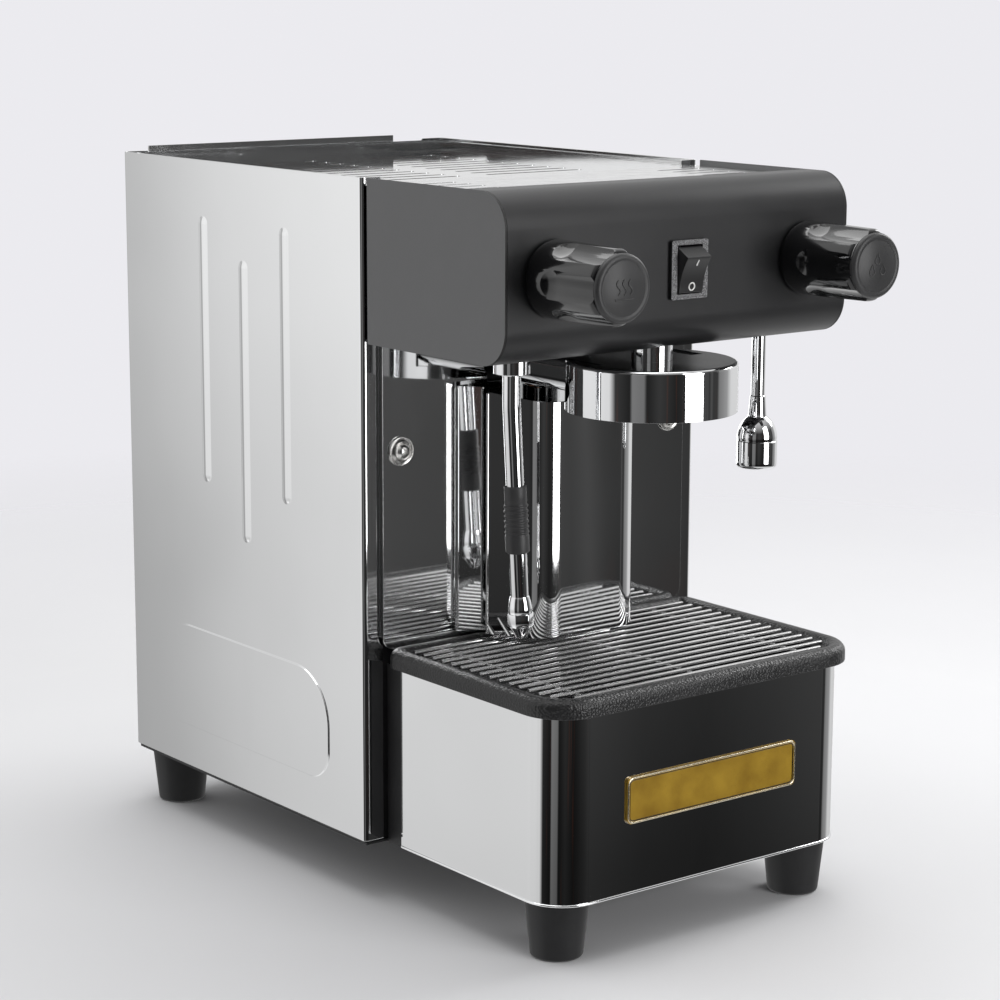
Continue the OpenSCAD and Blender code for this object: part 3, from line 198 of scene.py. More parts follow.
def ground_metal(name, tone, dark, stretch, haze, depth):
    """Ground or drawn metal: fine lines one way, a little tarnish between."""
    f = Finish(name)
    lines = f.noise(1400, 3, 0.6, f.stretched(*stretch))
    stain = f.span(f.noise(55, 4, 0.6), 0.4, 0.75, 0, 1)
    colour = f.blend(stain, tone, dark)
    return f.done(
        Base_Color=f.blend(f.span(lines, 0.35, 0.65, 0, 0.35), colour, dark),
        Metallic=1.0,
        Roughness=haze + lines * 0.12 + stain * 0.08,
        Normal=f.bump(lines, depth * MM),
    )


def powder_coat(name, tone, light, haze, grain, depth):
    """Baked powder: orange-peel bump, a fine speckle, paler where it is rubbed."""
    f = Finish(name)
    peel = f.noise(grain, 3, 0.55)
    speckle = f.span(f.noise(grain * 2.2, 1), 0.4, 0.72, 0, 1)
    rubbed = f.span(f.noise(17, 5, 0.65), 0.45, 0.8, 0, 1)
    return f.done(
        Base_Color=f.blend(speckle * 0.4 + rubbed * 0.45, tone, light),
        Roughness=haze + speckle * 0.08 + rubbed * 0.05,
        Specular_IOR_Level=0.45,
        Normal=f.bump(peel, depth * MM),
    )


def moulded_plastic(name, tone, light, haze, grain, depth, coat=0.0):
    """Moulded plastic or phenolic: mould grain, faint flow marks and handling marks."""
    f = Finish(name)
    skin = f.noise(grain, 2, 0.5)
    handled = f.span(f.noise(48, 4, 0.6), 0.48, 0.8, 0, 1)
    flow = f.span(f.noise(12, 2, 0.5, f.stretched(1, 1, 3)), 0.35, 0.7, 0, 1)
    return f.done(
        Base_Color=f.blend(flow * 0.5 + handled * 0.3, tone, light),
        Roughness=haze + handled * 0.07 + flow * 0.02,
        Specular_IOR_Level=0.5,
        Coat_Weight=coat,
        Coat_Roughness=0.04,
        Normal=f.bump(skin, depth * MM),
    )


def pebbled_plastic(name, tone, light, haze, cell, depth):
    """Leather-like mould grain: rounded pebbles with fine pits between."""
    f = Finish(name)
    pebble = f.pebbles(cell)
    crown = f.span(pebble, 0.0, 0.75, 1, 0)
    fine = f.noise(cell * 2.5, 3, 0.6)
    dust = f.span(f.noise(30, 4, 0.65), 0.45, 0.8, 0, 1)
    return f.done(
        # The pebble crowns are painted lighter in colour: a painted highlight on their tops.
        Base_Color=f.blend(crown * 0.35 + dust * 0.35, tone, light),
        Roughness=haze + dust * 0.1 - crown * 0.06,
        Normal=f.bump(crown + fine * 0.3, depth * MM),
    )


def soft_rubber(name, tone, light, haze):
    """Matt rubber with a greyish bloom."""
    f = Finish(name)
    bloom = f.span(f.noise(26, 5, 0.65), 0.4, 0.8, 0, 1)
    skin = f.noise(1500, 2, 0.5)
    return f.done(
        Base_Color=f.blend(bloom, tone, light),
        Roughness=haze + bloom * 0.12,
        Specular_IOR_Level=0.4,
        Normal=f.bump(skin, 0.03 * MM),
    )


def zinc_sheet(name):
    """Galvanised sheet with its patchwork of zinc crystals."""
    f = Finish(name)
    share = f.span(f.pebbles(90, "Color"), 0.2, 0.8, 0, 1)
    return f.done(
        Base_Color=f.blend(share, (0.42, 0.44, 0.46), (0.62, 0.63, 0.65)),
        Metallic=1.0,
        Roughness=0.3 + share * 0.18,
        Normal=f.bump(f.noise(300, 2), 0.02 * MM),
    )


def warm_metal(name, tone, dark, haze):
    """Turned brass or drawn copper: fine turning lines and brown tarnish."""
    f = Finish(name)
    tarnish = f.span(f.noise(70, 5, 0.65), 0.42, 0.75, 0, 1)
    lines = f.noise(1800, 2, 0.5, f.stretched(0.05, 0.05, 1))
    return f.done(
        Base_Color=f.blend(tarnish, tone, dark),
        Metallic=1.0,
        Roughness=haze + tarnish * 0.2 + lines * 0.06,
        Normal=f.bump(lines, 0.01 * MM),
    )


def lacquered_amber(name):
    """Amber lacquer over a satin plate: a cloudy tint and dust in the lacquer."""
    f = Finish(name)
    cloud = f.span(f.noise(55, 3), 0.3, 0.7, 0, 1)
    dust = f.span(f.noise(1600, 1), 0.66, 0.76, 0, 1)
    tint = f.blend(cloud, (0.3, 0.17, 0.012), (0.44, 0.27, 0.02))
    return f.done(
        Base_Color=f.blend(dust * 0.5, tint, (0.2, 0.1, 0.01)),
        Metallic=0.35,
        Roughness=0.3 + cloud * 0.08 + dust * 0.1,
        Coat_Weight=0.8,
        Coat_Roughness=0.05,
        Normal=f.bump(cloud, 0.03 * MM),
    )


def glint_painted_plastic(name):
    """Coarse mould grain with painted glints: light specks painted into its colour one by one."""
    f = Finish(name)
    grain = f.noise(1500, 2, 0.7)
    painted_glints = f.span(grain, 0.48, 0.6, 0, 1)
    return f.done(
        # The glints are painted light: the grain's specks are painted pale in the base colour.
        Base_Color=f.blend(painted_glints, (0.05, 0.05, 0.052), (0.34, 0.34, 0.35)),
        Roughness=0.5 - painted_glints * 0.2,
        Normal=f.bump(grain, 0.25 * MM),
    )


def milky_plastic(name):
    """Unpigmented white plastic with faint flow marks."""
    f = Finish(name)
    flow = f.span(f.noise(20, 3, 0.5, f.stretched(1, 1, 3)), 0.35, 0.7, 0, 1)
    return f.done(
        Base_Color=f.blend(flow, (0.78, 0.82, 0.84), (0.9, 0.92, 0.92)),
        Roughness=0.3 + flow * 0.1,
        Normal=f.bump(f.noise(500, 2), 0.02 * MM),
    )


def printed_white(name):
    """White paint in a moulded mark, a little worn."""
    f = Finish(name)
    wear = f.span(f.noise(900, 3, 0.6), 0.5, 0.75, 0, 1)
    return f.done(
        Base_Color=f.blend(wear, (0.86, 0.86, 0.84), (0.6, 0.6, 0.58)),
        Roughness=0.4 + wear * 0.1,
        Normal=f.bump(wear, 0.01 * MM),
    )


FINISH = {
    "mirror_steel": polished_sheet("mirror steel", (0.9, 0.905, 0.91), wave=0.05, haze=0.035),
    "tray_steel": polished_sheet("pressed tray steel", (0.88, 0.885, 0.89), wave=0.3, haze=0.07),
    "chrome": wiped_chrome("chrome plate", (0.88, 0.885, 0.895), haze=0.03),
    "steel_strip": ground_metal(
        "bright steel strip", (0.86, 0.865, 0.87), (0.7, 0.7, 0.71),
        stretch=(0.04, 1, 1), haze=0.13, depth=0.004,
    ),
    "wire_steel": wiped_chrome("drawn wire", (0.66, 0.66, 0.66), haze=0.14),
    "head_grey": powder_coat(
        "grey powder coat", (0.135, 0.136, 0.138), (0.165, 0.166, 0.169), haze=0.36, grain=900, depth=0.03
    ),
    "head_black": powder_coat(
        "black powder coat", (0.011, 0.011, 0.012), (0.018, 0.018, 0.019), haze=0.36, grain=1100, depth=0.03
    ),
    "frame_black": powder_coat(
        "black frame paint", (0.012, 0.012, 0.013), (0.03, 0.03, 0.031), haze=0.4, grain=700, depth=0.04
    ),
    "knob_black": moulded_plastic(
        "gloss black phenolic", (0.005, 0.005, 0.0055), (0.009, 0.009, 0.01),
        haze=0.11, grain=500, depth=0.006, coat=0.6,
    ),
    "cap_rubber": soft_rubber("matt grey-black rubber", (0.03, 0.03, 0.031), (0.045, 0.045, 0.046), haze=0.4),
    "black_plastic": moulded_plastic(
        "fine-grained black plastic", (0.012, 0.012, 0.0125), (0.022, 0.022, 0.023),
        haze=0.33, grain=2200, depth=0.05,
    ),
    "grained_plastic": pebbled_plastic(
        "pebbled black plastic", (0.009, 0.009, 0.0095), (0.026, 0.026, 0.027), haze=0.33, cell=620, depth=0.3
    ),
    "foot_rubber": soft_rubber("black foot rubber", (0.011, 0.011, 0.012), (0.022, 0.022, 0.023), haze=0.48),
    "brass": warm_metal("turned brass", (0.72, 0.52, 0.24), (0.42, 0.28, 0.12), haze=0.22),
    "copper": warm_metal("drawn copper", (0.74, 0.4, 0.25), (0.4, 0.19, 0.11), haze=0.26),
    "amber_plate": lacquered_amber("amber lacquer on plate"),
    "ptfe": milky_plastic("white PTFE"),
    "dark_metal": powder_coat(
        "grey coil paint", (0.1, 0.105, 0.11), (0.16, 0.165, 0.17), haze=0.45, grain=800, depth=0.04
    ),
    "galvanised": zinc_sheet("galvanised sheet"),
    "clear_plastic": milky_plastic("milky tank plastic"),
    "screw_steel": ground_metal(
        "plated screw steel", (0.78, 0.78, 0.77), (0.5, 0.49, 0.47),
        stretch=(1, 1, 0.3), haze=0.16, depth=0.006,
    ),
    # Near-black edge faces: painted shade that stands in for the shadow in the joint between side plate and
    # cover.
    "edge_painted_shade": moulded_plastic(
        "edge black as painted shade", (0.002, 0.002, 0.002), (0.004, 0.004, 0.004), haze=0.5, grain=900, depth=0.01
    ),
    "glint_painted_plastic": glint_painted_plastic("grained plastic with painted glints"),
    "white_mark": printed_white("white moulded mark"),
    "gold_rim": warm_metal("gilt rim", (0.86, 0.78, 0.6), (0.6, 0.48, 0.28), haze=0.16),
}

slot_of = {part["node"]: part["material_slot"] for part in frame["record"]["subparts"]}


def coat(piece, finish):
    piece.data.materials.clear()
    piece.data.materials.append(FINISH[finish])


for name, solid in frame["nodes"].items():
    coat(solid, slot_of[name])


# ---------------------------------------------------------------- bench work


def only(piece):
    """Selects one piece alone, so that operators act on it."""
    bpy.ops.object.select_all(action="DESELECT")
    piece.select_set(True)
    bpy.context.view_layer.objects.active = piece


def fit(piece, kind, **settings):
    """Adds one modifier, sets it and applies it."""
    only(piece)
    modifier = piece.modifiers.new(kind.title(), kind)
    for name, value in settings.items():
        setattr(modifier, name, value)
    bpy.ops.object.modifier_apply(modifier=modifier.name)


def smooth(piece, degrees):
    """Shades a piece smooth, apart from edges sharper than an angle."""
    only(piece)
    bpy.ops.object.shade_smooth_by_angle(angle=math.radians(degrees))


body_of_node = {}
for body, members in frame["record"]["behaviour"]["bodies"].items():
    for member in members:
        body_of_node[member] = body


def finish_off(piece, name, body, finish, *nodes):
    """Names a piece, coats it, hangs it on its body and lets it stand for its solids."""
    piece.name = name
    piece.data.name = name
    coat(piece, finish)
    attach(piece, body)
    if nodes:
        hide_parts(*nodes)
    return piece


def dressed(node, edge, name):
    """A copy of a solid with its flat facets merged and its edges broken, edge millimetres wide."""
    solid = frame["nodes"][node]
    piece = solid.copy()
    piece.data = solid.data.copy()
    piece.parent = None
    # The copy no longer counts as the solid
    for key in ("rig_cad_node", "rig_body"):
        if key in piece:
            del piece[key]
    bpy.context.scene.collection.objects.link(piece)
    only(piece)
    bpy.ops.object.mode_set(mode="EDIT")
    bpy.ops.mesh.select_all(action="SELECT")
    bpy.ops.mesh.remove_doubles(threshold=0.01 * MM)
    bpy.ops.mesh.dissolve_limited(angle_limit=math.radians(0.6))
    bpy.ops.object.mode_set(mode="OBJECT")
    fit(
        piece,
        "BEVEL",
        width=edge * MM,
        segments=2,
        limit_method="ANGLE",
        angle_limit=math.radians(30),
        use_clamp_overlap=True,
    )
    smooth(piece, 32)
    fit(piece, "WEIGHTED_NORMAL", mode="FACE_AREA", weight=100, keep_sharp=True)
    return finish_off(piece, name, body_of_node[node], slot_of[node], node)


def bow(centre, radius, start, end, steps):
    """Points of an arc in a plane, between two angles in degrees."""
    turn = [math.radians(start + (end - start) * i / steps) for i in range(steps + 1)]
    return [(centre[0] + radius * math.cos(t), centre[1] + radius * math.sin(t)) for t in turn]


def settle(piece, matrix):
    """Moves a piece to its place and leaves its object at the origin."""
    only(piece)
    piece.matrix_world = matrix
    bpy.ops.object.transform_apply(location=True, rotation=True, scale=True)


def turned(profile, steps):
    """A profile of radius and height in millimetres, drawn point by point and spun round the Z axis."""
    bpy.ops.object.select_all(action="DESELECT")
    bpy.ops.mesh.primitive_plane_add(size=1 * MM, location=(0, 0, 0))
    piece = bpy.context.active_object
    bpy.ops.object.mode_set(mode="EDIT")
    bpy.ops.mesh.select_all(action="SELECT")
    bpy.ops.mesh.merge(type="CENTER")
    bpy.ops.transform.translate(value=(profile[0][0] * MM, 0, profile[0][1] * MM))
    for before, after in zip(profile, profile[1:]):
        step = ((after[0] - before[0]) * MM, 0, (after[1] - before[1]) * MM)
        bpy.ops.mesh.extrude_region_move(TRANSFORM_OT_translate={"value": step})
    bpy.ops.mesh.select_all(action="SELECT")
    bpy.ops.mesh.spin(steps=steps, angle=2 * math.pi, center=(0, 0, 0), axis=(0, 0, 1))
    bpy.ops.mesh.select_all(action="SELECT")
    bpy.ops.mesh.remove_doubles(threshold=0.002 * MM)
    bpy.ops.mesh.normals_make_consistent(inside=False)
    bpy.ops.object.mode_set(mode="OBJECT")
    return piece


def block(size, middle):
    """A square-edged block to cut with: size and middle in metres."""
    bpy.ops.object.select_all(action="DESELECT")
    bpy.ops.mesh.primitive_cube_add(size=1, location=middle, scale=size)
    bpy.ops.object.transform_apply(location=True, rotation=True, scale=True)
    return bpy.context.active_object


def copied(piece):
    """A copy with a mesh of its own."""
    only(piece)
    bpy.ops.object.duplicate(linked=False)
    return bpy.context.active_object


def joined(first, *others):
    """Pieces made one, which keeps the first one's name."""
    only(first)
    for other in others:
        other.select_set(True)
    bpy.ops.object.join()
    return first


def cut(piece, tool, operation="DIFFERENCE"):
    """Cuts a piece with a tool, or adds the tool to it, and uses the tool up."""
    fit(piece, "BOOLEAN", operation=operation, solver="EXACT", object=tool)
    bpy.data.objects.remove(tool)


def rod(points, radius, steps, closed=False):
    """A round rod along points in metres, made of a curve and turned into a mesh, with about steps sides."""
    bpy.ops.object.select_all(action="DESELECT")
    bpy.ops.curve.primitive_nurbs_path_add(location=(0, 0, 0))
    line = bpy.context.active_object
    line.data.splines.clear()
    spline = line.data.splines.new("POLY")
    spline.points.add(len(points) - 1)
    for point, place in zip(spline.points, points):
        point.co = (*place, 1)
    spline.use_cyclic_u = closed
    line.data.bevel_depth = radius
    line.data.bevel_resolution = steps // 4
    line.data.use_fill_caps = not closed
    bpy.ops.object.convert(target="MESH")
    piece = bpy.context.active_object
    smooth(piece, 50)
    return piece


# Turns what was made upright, so that its top faces the front or the back
TO_FRONT = Matrix.Rotation(math.pi / 2, 4, "X")
TO_BACK = Matrix.Rotation(-math.pi / 2, 4, "X")


# ---------------------------------------------------------------- sheet and castings

for node, edge, name in (
    ("side_panel_left", 0.35, "side_panel_left_pressed"),
    ("side_panel_right", 0.35, "side_panel_right_pressed"),
    ("rear_wall", 0.35, "rear_wall_pressed"),
    ("front_upright", 0.3, "front_upright_folded"),
    ("splash_panel", 0.3, "splash_panel_folded"),
    ("head_top_plate", 0.3, "head_top_plate_pressed"),
    ("head_cover", 0.9, "head_cover_bent"),
    ("base_shell", 0.4, "base_shell_bent"),
    ("drip_tray", 0.5, "drip_tray_moulded"),
    ("group_body", 0.8, "group_body_cast"),
    ("group_bell", 0.5, "group_bell_turned"),
    ("rocker", 0.5, "rocker_moulded"),
    ("wand_nut", 0.4, "wand_nut_turned"),
    ("foot_front_left", 0.8, "foot_front_left_moulded"),
    ("foot_front_right", 0.8, "foot_front_right_moulded"),
    ("foot_rear_left", 0.8, "foot_rear_left_moulded"),
    ("foot_rear_right", 0.8, "foot_rear_right_moulded"),
    ("badge_plate", 0.3, "badge_plate_stamped"),
):
    dressed(node, edge, name)


def cup_tray():
    """The tray with its rear edge notched at both corners."""
    tray = dressed("cup_tray", 0.3, "cup_tray_pressed")
    low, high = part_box("cup_tray")
    depth, left_end, right_start = 4.5 * MM, -112 * MM, 85 * MM
    tool, overshoot = 20 * MM, 10 * MM
    for inner, outer in ((left_end, low.x - overshoot), (right_start, high.x + overshoot)):
        middle = ((inner + outer) / 2, high.y, high.z + tool / 2 - depth)
        cut(tray, block((abs(outer - inner), tool, tool), middle))
    smooth(tray, 32)
    coat(tray, "tray_steel")


def second_coat(piece, finish, chosen):
    """Coats the faces that the test picks with a second finish."""
    piece.data.materials.append(FINISH[finish])
    for face in piece.data.polygons:
        if chosen(face.normal):
            face.material_index = 1


cup_tray()
for node in ("head_side_left", "head_side_right"):
    # The side plates' edge faces get the near-black painted shade of the joint.
    second_coat(dressed(node, 0.25, node + "_cut"), "edge_painted_shade", lambda normal: abs(normal.x) < 0.75)
bezel = dressed("switch_bezel", 0.4, "switch_bezel_moulded")
# Only the front faces get the painted glints; the sides keep the bezel's own dark finish.
second_coat(bezel, "glint_painted_plastic", lambda normal: normal.y < -0.6)


def bent_sheet(plan, gauge, foot, crown):
    """A sheet that stands on its plan; foot and crown give the height of its edges at a place."""
    sides = []
    for i in range(len(plan)):
        before, after = plan[max(i - 1, 0)], plan[min(i + 1, len(plan) - 1)]
        along = (after - before).normalized()
        sides.append(Vector((-along.y, along.x)) * gauge)
    ring = list(plan) + [point + side for point, side in zip(reversed(plan), reversed(sides))]
    sheet = bmesh.new()
    lower = [sheet.verts.new((p.x, p.y, foot(p))) for p in ring]
    upper = [sheet.verts.new((p.x, p.y, crown(p))) for p in ring]
    count = len(ring)
    for i in range(count):
        j = (i + 1) % count
        sheet.faces.new((lower[i], lower[j], upper[j], upper[i]))
    for i in range(count // 2 - 1):
        j = count - 1 - i
        sheet.faces.new((lower[i], lower[j], lower[j - 1], lower[i + 1]))
        sheet.faces.new((upper[i], upper[i + 1], upper[j - 1], upper[j]))
    bmesh.ops.recalc_face_normals(sheet, faces=sheet.faces)
    mesh = bpy.data.meshes.new("sheet")
    sheet.to_mesh(mesh)
    sheet.free()
    piece = bpy.data.objects.new("sheet", mesh)
    bpy.context.scene.collection.objects.link(piece)
    return piece


def upright_rod(place, foot, crown, radius):
    """A thin rod up a sheet, which stops short of its ends."""
    gap = 1 * MM
    ends = [(place.x, place.y, foot(place) + gap), (place.x, place.y, crown(place) - gap)]
    return rod(ends, radius, 12)


def pillar():
    """The pillar: a round-cornered cover with hemmed edges over two wings that lie back."""
    low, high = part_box("pillar_cover")
    gauge, corner_radius, flat = 1.0 * MM, 20 * MM, 23 * MM
    flank_turn, flank_length, corner_steps = math.radians(59.7), 26.5 * MM, 16
    wing_lean, wing_length, clearance = math.radians(29), 30 * MM, 0.2 * MM
    fall = math.tan(math.radians(8))

    def crown(p):
        return high.z - (high.y - p.y) * fall

    def foot(p):
        return low.z

    corner = []
    for i in range(corner_steps + 1):
        turn = flank_turn * i / corner_steps
        corner.append(Vector((
            flat + corner_radius * math.sin(turn),
            low.y + corner_radius - corner_radius * math.cos(turn),
        )))
    back = corner[-1] + Vector((math.cos(flank_turn), math.sin(flank_turn))) * flank_length
    right = corner + [corner[-1] + (back - corner[-1]) * share for share in (0.5, 1)]
    left = [Vector((-p.x, p.y)) for p in reversed(right)]
    cover = bent_sheet(left + right, gauge, foot, crown)
    smooth(cover, 22)
    pieces = [cover]
    for s in (-1, 1):
        root = Vector((s * (high.x - clearance), high.y - clearance))
        inner = root + Vector((-s * math.cos(wing_lean), -math.sin(wing_lean))) * wing_length
        wing = [root, (root + inner) / 2, inner]
        pieces.append(bent_sheet(wing if s < 0 else wing[::-1], gauge, foot, crown))
        hem = Vector((s * back.x, back.y + clearance))
        pieces.append(upright_rod(hem, foot, crown, 0.9 * MM))
        seam = Vector((s * (high.x - 0.8 * MM), high.y - 0.9 * MM))
        pieces.append(upright_rod(seam, foot, crown, 0.7 * MM))
    finish_off(joined(*pieces), "pillar_sheets", "machine", "mirror_steel", "pillar_cover")


pillar()


# ---------------------------------------------------------------- knobs

# Profiles of a knob's barrel and cap: radius and height above the barrel's foot, in millimetres
KNOB_LENGTH = 58.2
KNOB_BARREL = (
    [(0, 0), (20.2, 0)] + bow((20.6, 1.3), 1.3, -90, 0, 3) + [(21.9, 4), (21.45, 28)]
    + bow((17.9, 52.0), 3.1, 5, 84, 6) + [(17.4, 54.9), (17.2, 54.3), (0, 54.3)]
)
KNOB_CAP = (
    [(0, 53.9), (17.0, 53.9), (18.7, 54.4), (19.0, 55.6)] + bow((16.6, 55.8), 2.4, 6, 84, 6)
    + [(15.8, KNOB_LENGTH), (15.3, 57.85), (14.9, 57.85), (14.4, KNOB_LENGTH), (0, KNOB_LENGTH)]
)


def fluted_barrel(name, node, body):
    """The knob's barrel, with six flutes cut by a ball-ended finger."""
    low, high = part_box(node)
    barrel_radius, cutter, flute_depth, flute_start = 20.8, 16, 3.1, 24
    barrel = turned(KNOB_BARREL, 96)
    finger = turned([(0, -cutter)] + bow((0, 0), cutter, -84, 0, 12) + [(cutter, 60), (0, 60)], 64)
    reach = barrel_radius + cutter - flute_depth
    fingers = []
    for i in range(6):
        tool = copied(finger)
        turn = Matrix.Rotation(math.radians(60 * i), 4, "Z")
        settle(tool, turn @ Matrix.Translation((reach * MM, 0, flute_start * MM)))
        fingers.append(tool)
    bpy.data.objects.remove(finger)
    cut(barrel, joined(*fingers))
    fit(barrel, "BEVEL", width=0.45 * MM, segments=3, limit_method="ANGLE", angle_limit=math.radians(24))
    smooth(barrel, 40)
    settle(barrel, Matrix.Translation(((low.x + high.x) / 2, high.y, (low.z + high.z) / 2)) @ TO_FRONT)
    finish_off(barrel, name, body, "knob_black", node)


def rubber_cap(name, node, body, signs):
    """The knob's soft cap, with its sign moulded on."""
    low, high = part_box(node)
    cap = turned(KNOB_CAP, 72)
    smooth(cap, 40)
    cap = joined(cap, *signs)
    place = Matrix.Translation(((low.x + high.x) / 2, low.y + KNOB_LENGTH * MM, (low.z + high.z) / 2))
    settle(cap, place @ TO_FRONT)
    finish_off(cap, name, body, "cap_rubber", node)


def raised_line(points, radius=0.55, closed=False):
    """A low rib of a cap's sign, drawn in its plane in millimetres."""
    height = KNOB_LENGTH - 0.1
    return rod([(x * MM, y * MM, height * MM) for x, y in points], radius * MM, 8, closed)


def steam_sign():
    """Three rising wisps over a short line."""
    wisps = []
    for x in (-4.2, 0, 4.2):
        wisps.append(raised_line([(x + 1.3 * math.sin(t * 0.7), -3.4 + t * 0.92) for t in range(10)]))
    return wisps + [raised_line([(-6.2, -5.8), (6.2, -5.8)])]


def water_sign():
    """Three drops, each a bow that closes in a point."""
    drops = []
    for x, y in ((0, 3.4), (-4.3, -2.8), (4.3, -2.8)):
        outline = bow((x, y - 0.6), 2.1, 150, 390, 10)
        drops.append(raised_line(outline + [(x, y + 3.6)], 0.5, True))
    return drops


fluted_barrel("steam_knob_barrel", "steam_knob", "steam_knob")
fluted_barrel("water_knob_barrel", "water_knob", "water_knob")
rubber_cap("steam_knob_rubber", "steam_knob_cap", "steam_knob", steam_sign())
rubber_cap("water_knob_rubber", "water_knob_cap", "water_knob", water_sign())


# ---------------------------------------------------------------- wand and nozzle


def up_the_wand(height):
    """Where a piece of the leaning wand sits: height above its lower end, in millimetres."""
    low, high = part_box("wand_tip")
    tip_radius, rise = 7.0 * MM, 0.19 * MM
    foot = Vector((high.x - tip_radius, (low.y + high.y) / 2, low.z + rise))
    lean = Matrix.Rotation(-math.radians(3.3), 4, "Y")
    return Matrix.Translation(foot) @ lean @ Matrix.Translation((0, 0, height * MM))


def wand_end():
    """The coned tip with its steam hole, the spanner flats and the bell over them."""
    tip = turned([(0, 2), (1.4, 2), (1.4, 0.2), (2.9, 0), (3.3, 0.3), (6.7, 6.6), (7.0, 6.9), (0, 6.9)], 48)
    bell_top = [(6.9, 18.4), (6.3, 21.6), (5.7, 24.0), (5.35, 24.7), (0, 24.7)]
    bell = turned([(0, 14.4), (6.9, 14.4), (7.2, 15.0)] + bell_top, 48)
    bpy.ops.object.select_all(action="DESELECT")
    bpy.ops.mesh.primitive_cylinder_add(
        vertices=6, radius=7.75 * MM, depth=7.8 * MM, location=(0, 0, 10.6 * MM)
    )
    flats = bpy.context.active_object
    fit(flats, "BEVEL", width=0.35 * MM, segments=2)
    for part in (tip, bell, flats):
        smooth(part, 35)
    end = joined(bell, tip, flats)
    settle(end, up_the_wand(0))
    finish_off(end, "wand_tip_turned", "steam_wand", "chrome", "wand_tip")


def rubber_sleeve():
    """The ribbed rubber grip, closed on its inner wall."""
    profile = [(5.25, 0), (6.3, 0), (6.9, 0.6), (7.0, 9.8), (6.6, 10.4)]
    for i in range(6):
        profile += bow((6.25, 12.0 + i * 3.05), 0.85, -75, 75, 4)
    profile += [(6.3, 29.4), (6.5, 30.0), (6.5, 38.4), (6.1, 39.0), (5.25, 39.0)]
    sleeve = turned(profile + [profile[0]], 56)
    smooth(sleeve, 38)
    settle(sleeve, up_the_wand(50.5))
    finish_off(sleeve, "wand_grip_sleeve", "steam_wand", "cap_rubber", "wand_grip")


def hot_water_nozzle():
    """The hot-water outlet: a hollow foot, a domed body and a slim stem."""
    low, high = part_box("water_nozzle")
    dome = []
    for i in range(13):
        turn = math.radians(4 + 57 * i / 12)
        dome.append((12.35 * math.cos(turn), 17.6 + 16 * math.sin(turn)))
    profile = (
        [(0, 4.2), (8.4, 4.2), (8.4, 0.4), (8.9, 0)] + bow((9.8, 2.5), 2.5, -90, 0, 5)
        + [(12.4, 4), (12.4, 16.6), (12.0, 17.0), (12.0, 17.4)] + dome
        + [(5.75, 32.4), (5.6, 32.7), (4.8, 44.0), (4.3, 44.4), (3.9, 44.9), (3.9, 46), (0, 46)]
    )
    nozzle = turned(profile, 72)
    smooth(nozzle, 34)
    settle(nozzle, Matrix.Translation(((low.x + high.x) / 2, (low.y + high.y) / 2, low.z)))
    finish_off(nozzle, "water_nozzle_turned", "machine", "chrome", "water_nozzle")


wand_end()
rubber_sleeve()
hot_water_nozzle()


# ---------------------------------------------------------------- rocker marks and badge


def rocker_marks():
    """The moulded I and O on the rocker's hollow face, placed from the rocker's joint, in millimetres."""
    joint = next(joint for joint in frame["joints"] if joint["name"] == "rocker_tip")
    hollow_radius, hollow_centre, rest_tilt, proud = 36, -43.2, math.radians(19), 0.02
    line = [(0, z) for z in (5.6, 7.4, 9.2)]
    ring = bow((0, -7.4), 2.1, 0, 337.5, 15)
    marks = []
    for outline, closed in ((line, False), (ring, True)):
        places = []
        for x, z in outline:
            y = hollow_centre + math.sqrt(hollow_radius**2 - z**2) - proud
            places.append((x * MM, y * MM, z * MM))
        marks.append(rod(places, 0.48 * MM, 8, closed))
    piece = joined(*marks)
    settle(piece, Matrix.Translation(joint["pos_m"]) @ Matrix.Rotation(rest_tilt, 4, "X"))
    finish_off(piece, "rocker_marks", "rocker", "white_mark")


def badge_frame():
    """A gilt half-round rim round the amber plate, with a black line inside it."""
    low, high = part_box("badge_plate")
    plate_corner, sunk = 4.2, 0.25
    corners = ((high.x, high.z, 0), (low.x, high.z, 90), (low.x, low.z, 180), (high.x, low.z, 270))
    for name, inset, radius, finish in (
        ("badge_rim", 0.6, 0.6, "gold_rim"),
        ("badge_line", 1.7, 0.35, "knob_black"),
    ):
        corner = plate_corner - inset
        outline = []
        for x, z, start in corners:
            into_x = -1 if x == high.x else 1
            into_z = -1 if z == high.z else 1
            for i in range(6):
                turn = math.radians(start + 18 * i)
                outline.append((
                    x + (into_x * (inset + corner) + corner * math.cos(turn)) * MM,
                    low.y + sunk * MM,
                    z + (into_z * (inset + corner) + corner * math.sin(turn)) * MM,
                ))
        finish_off(rod(outline, radius * MM, 12, True), name, "machine", finish)


def base_hem():
    """The rolled lower edge of the base shell, which catches the light."""
    low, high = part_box("base_shell")
    hem, bend, gap = 0.8 * MM, 25 * MM, 1 * MM
    places = [(low.x, high.y - gap)]
    for x, start in ((low.x + bend, 180), (high.x - bend, 270)):
        places += bow((x, low.y + bend), bend, start, start + 90, 12)
    places.append((high.x, high.y - gap))
    finish_off(rod([(x, y, low.z + hem) for x, y in places], hem, 12), "base_hem", "machine", "chrome")


rocker_marks()
badge_frame()
base_hem()


# ---------------------------------------------------------------- screws


def cross_recess(width, depth):
    """The cutter for a cross recess in the top of a screw's head, in millimetres."""
    slot = 1.1 * MM
    one = block((width * MM, slot, depth * 2 * MM), (0, 0, 0))
    other = block((slot, width * MM, depth * 2 * MM), (0, 0, 0))
    cut(one, other, "UNION")
    return one


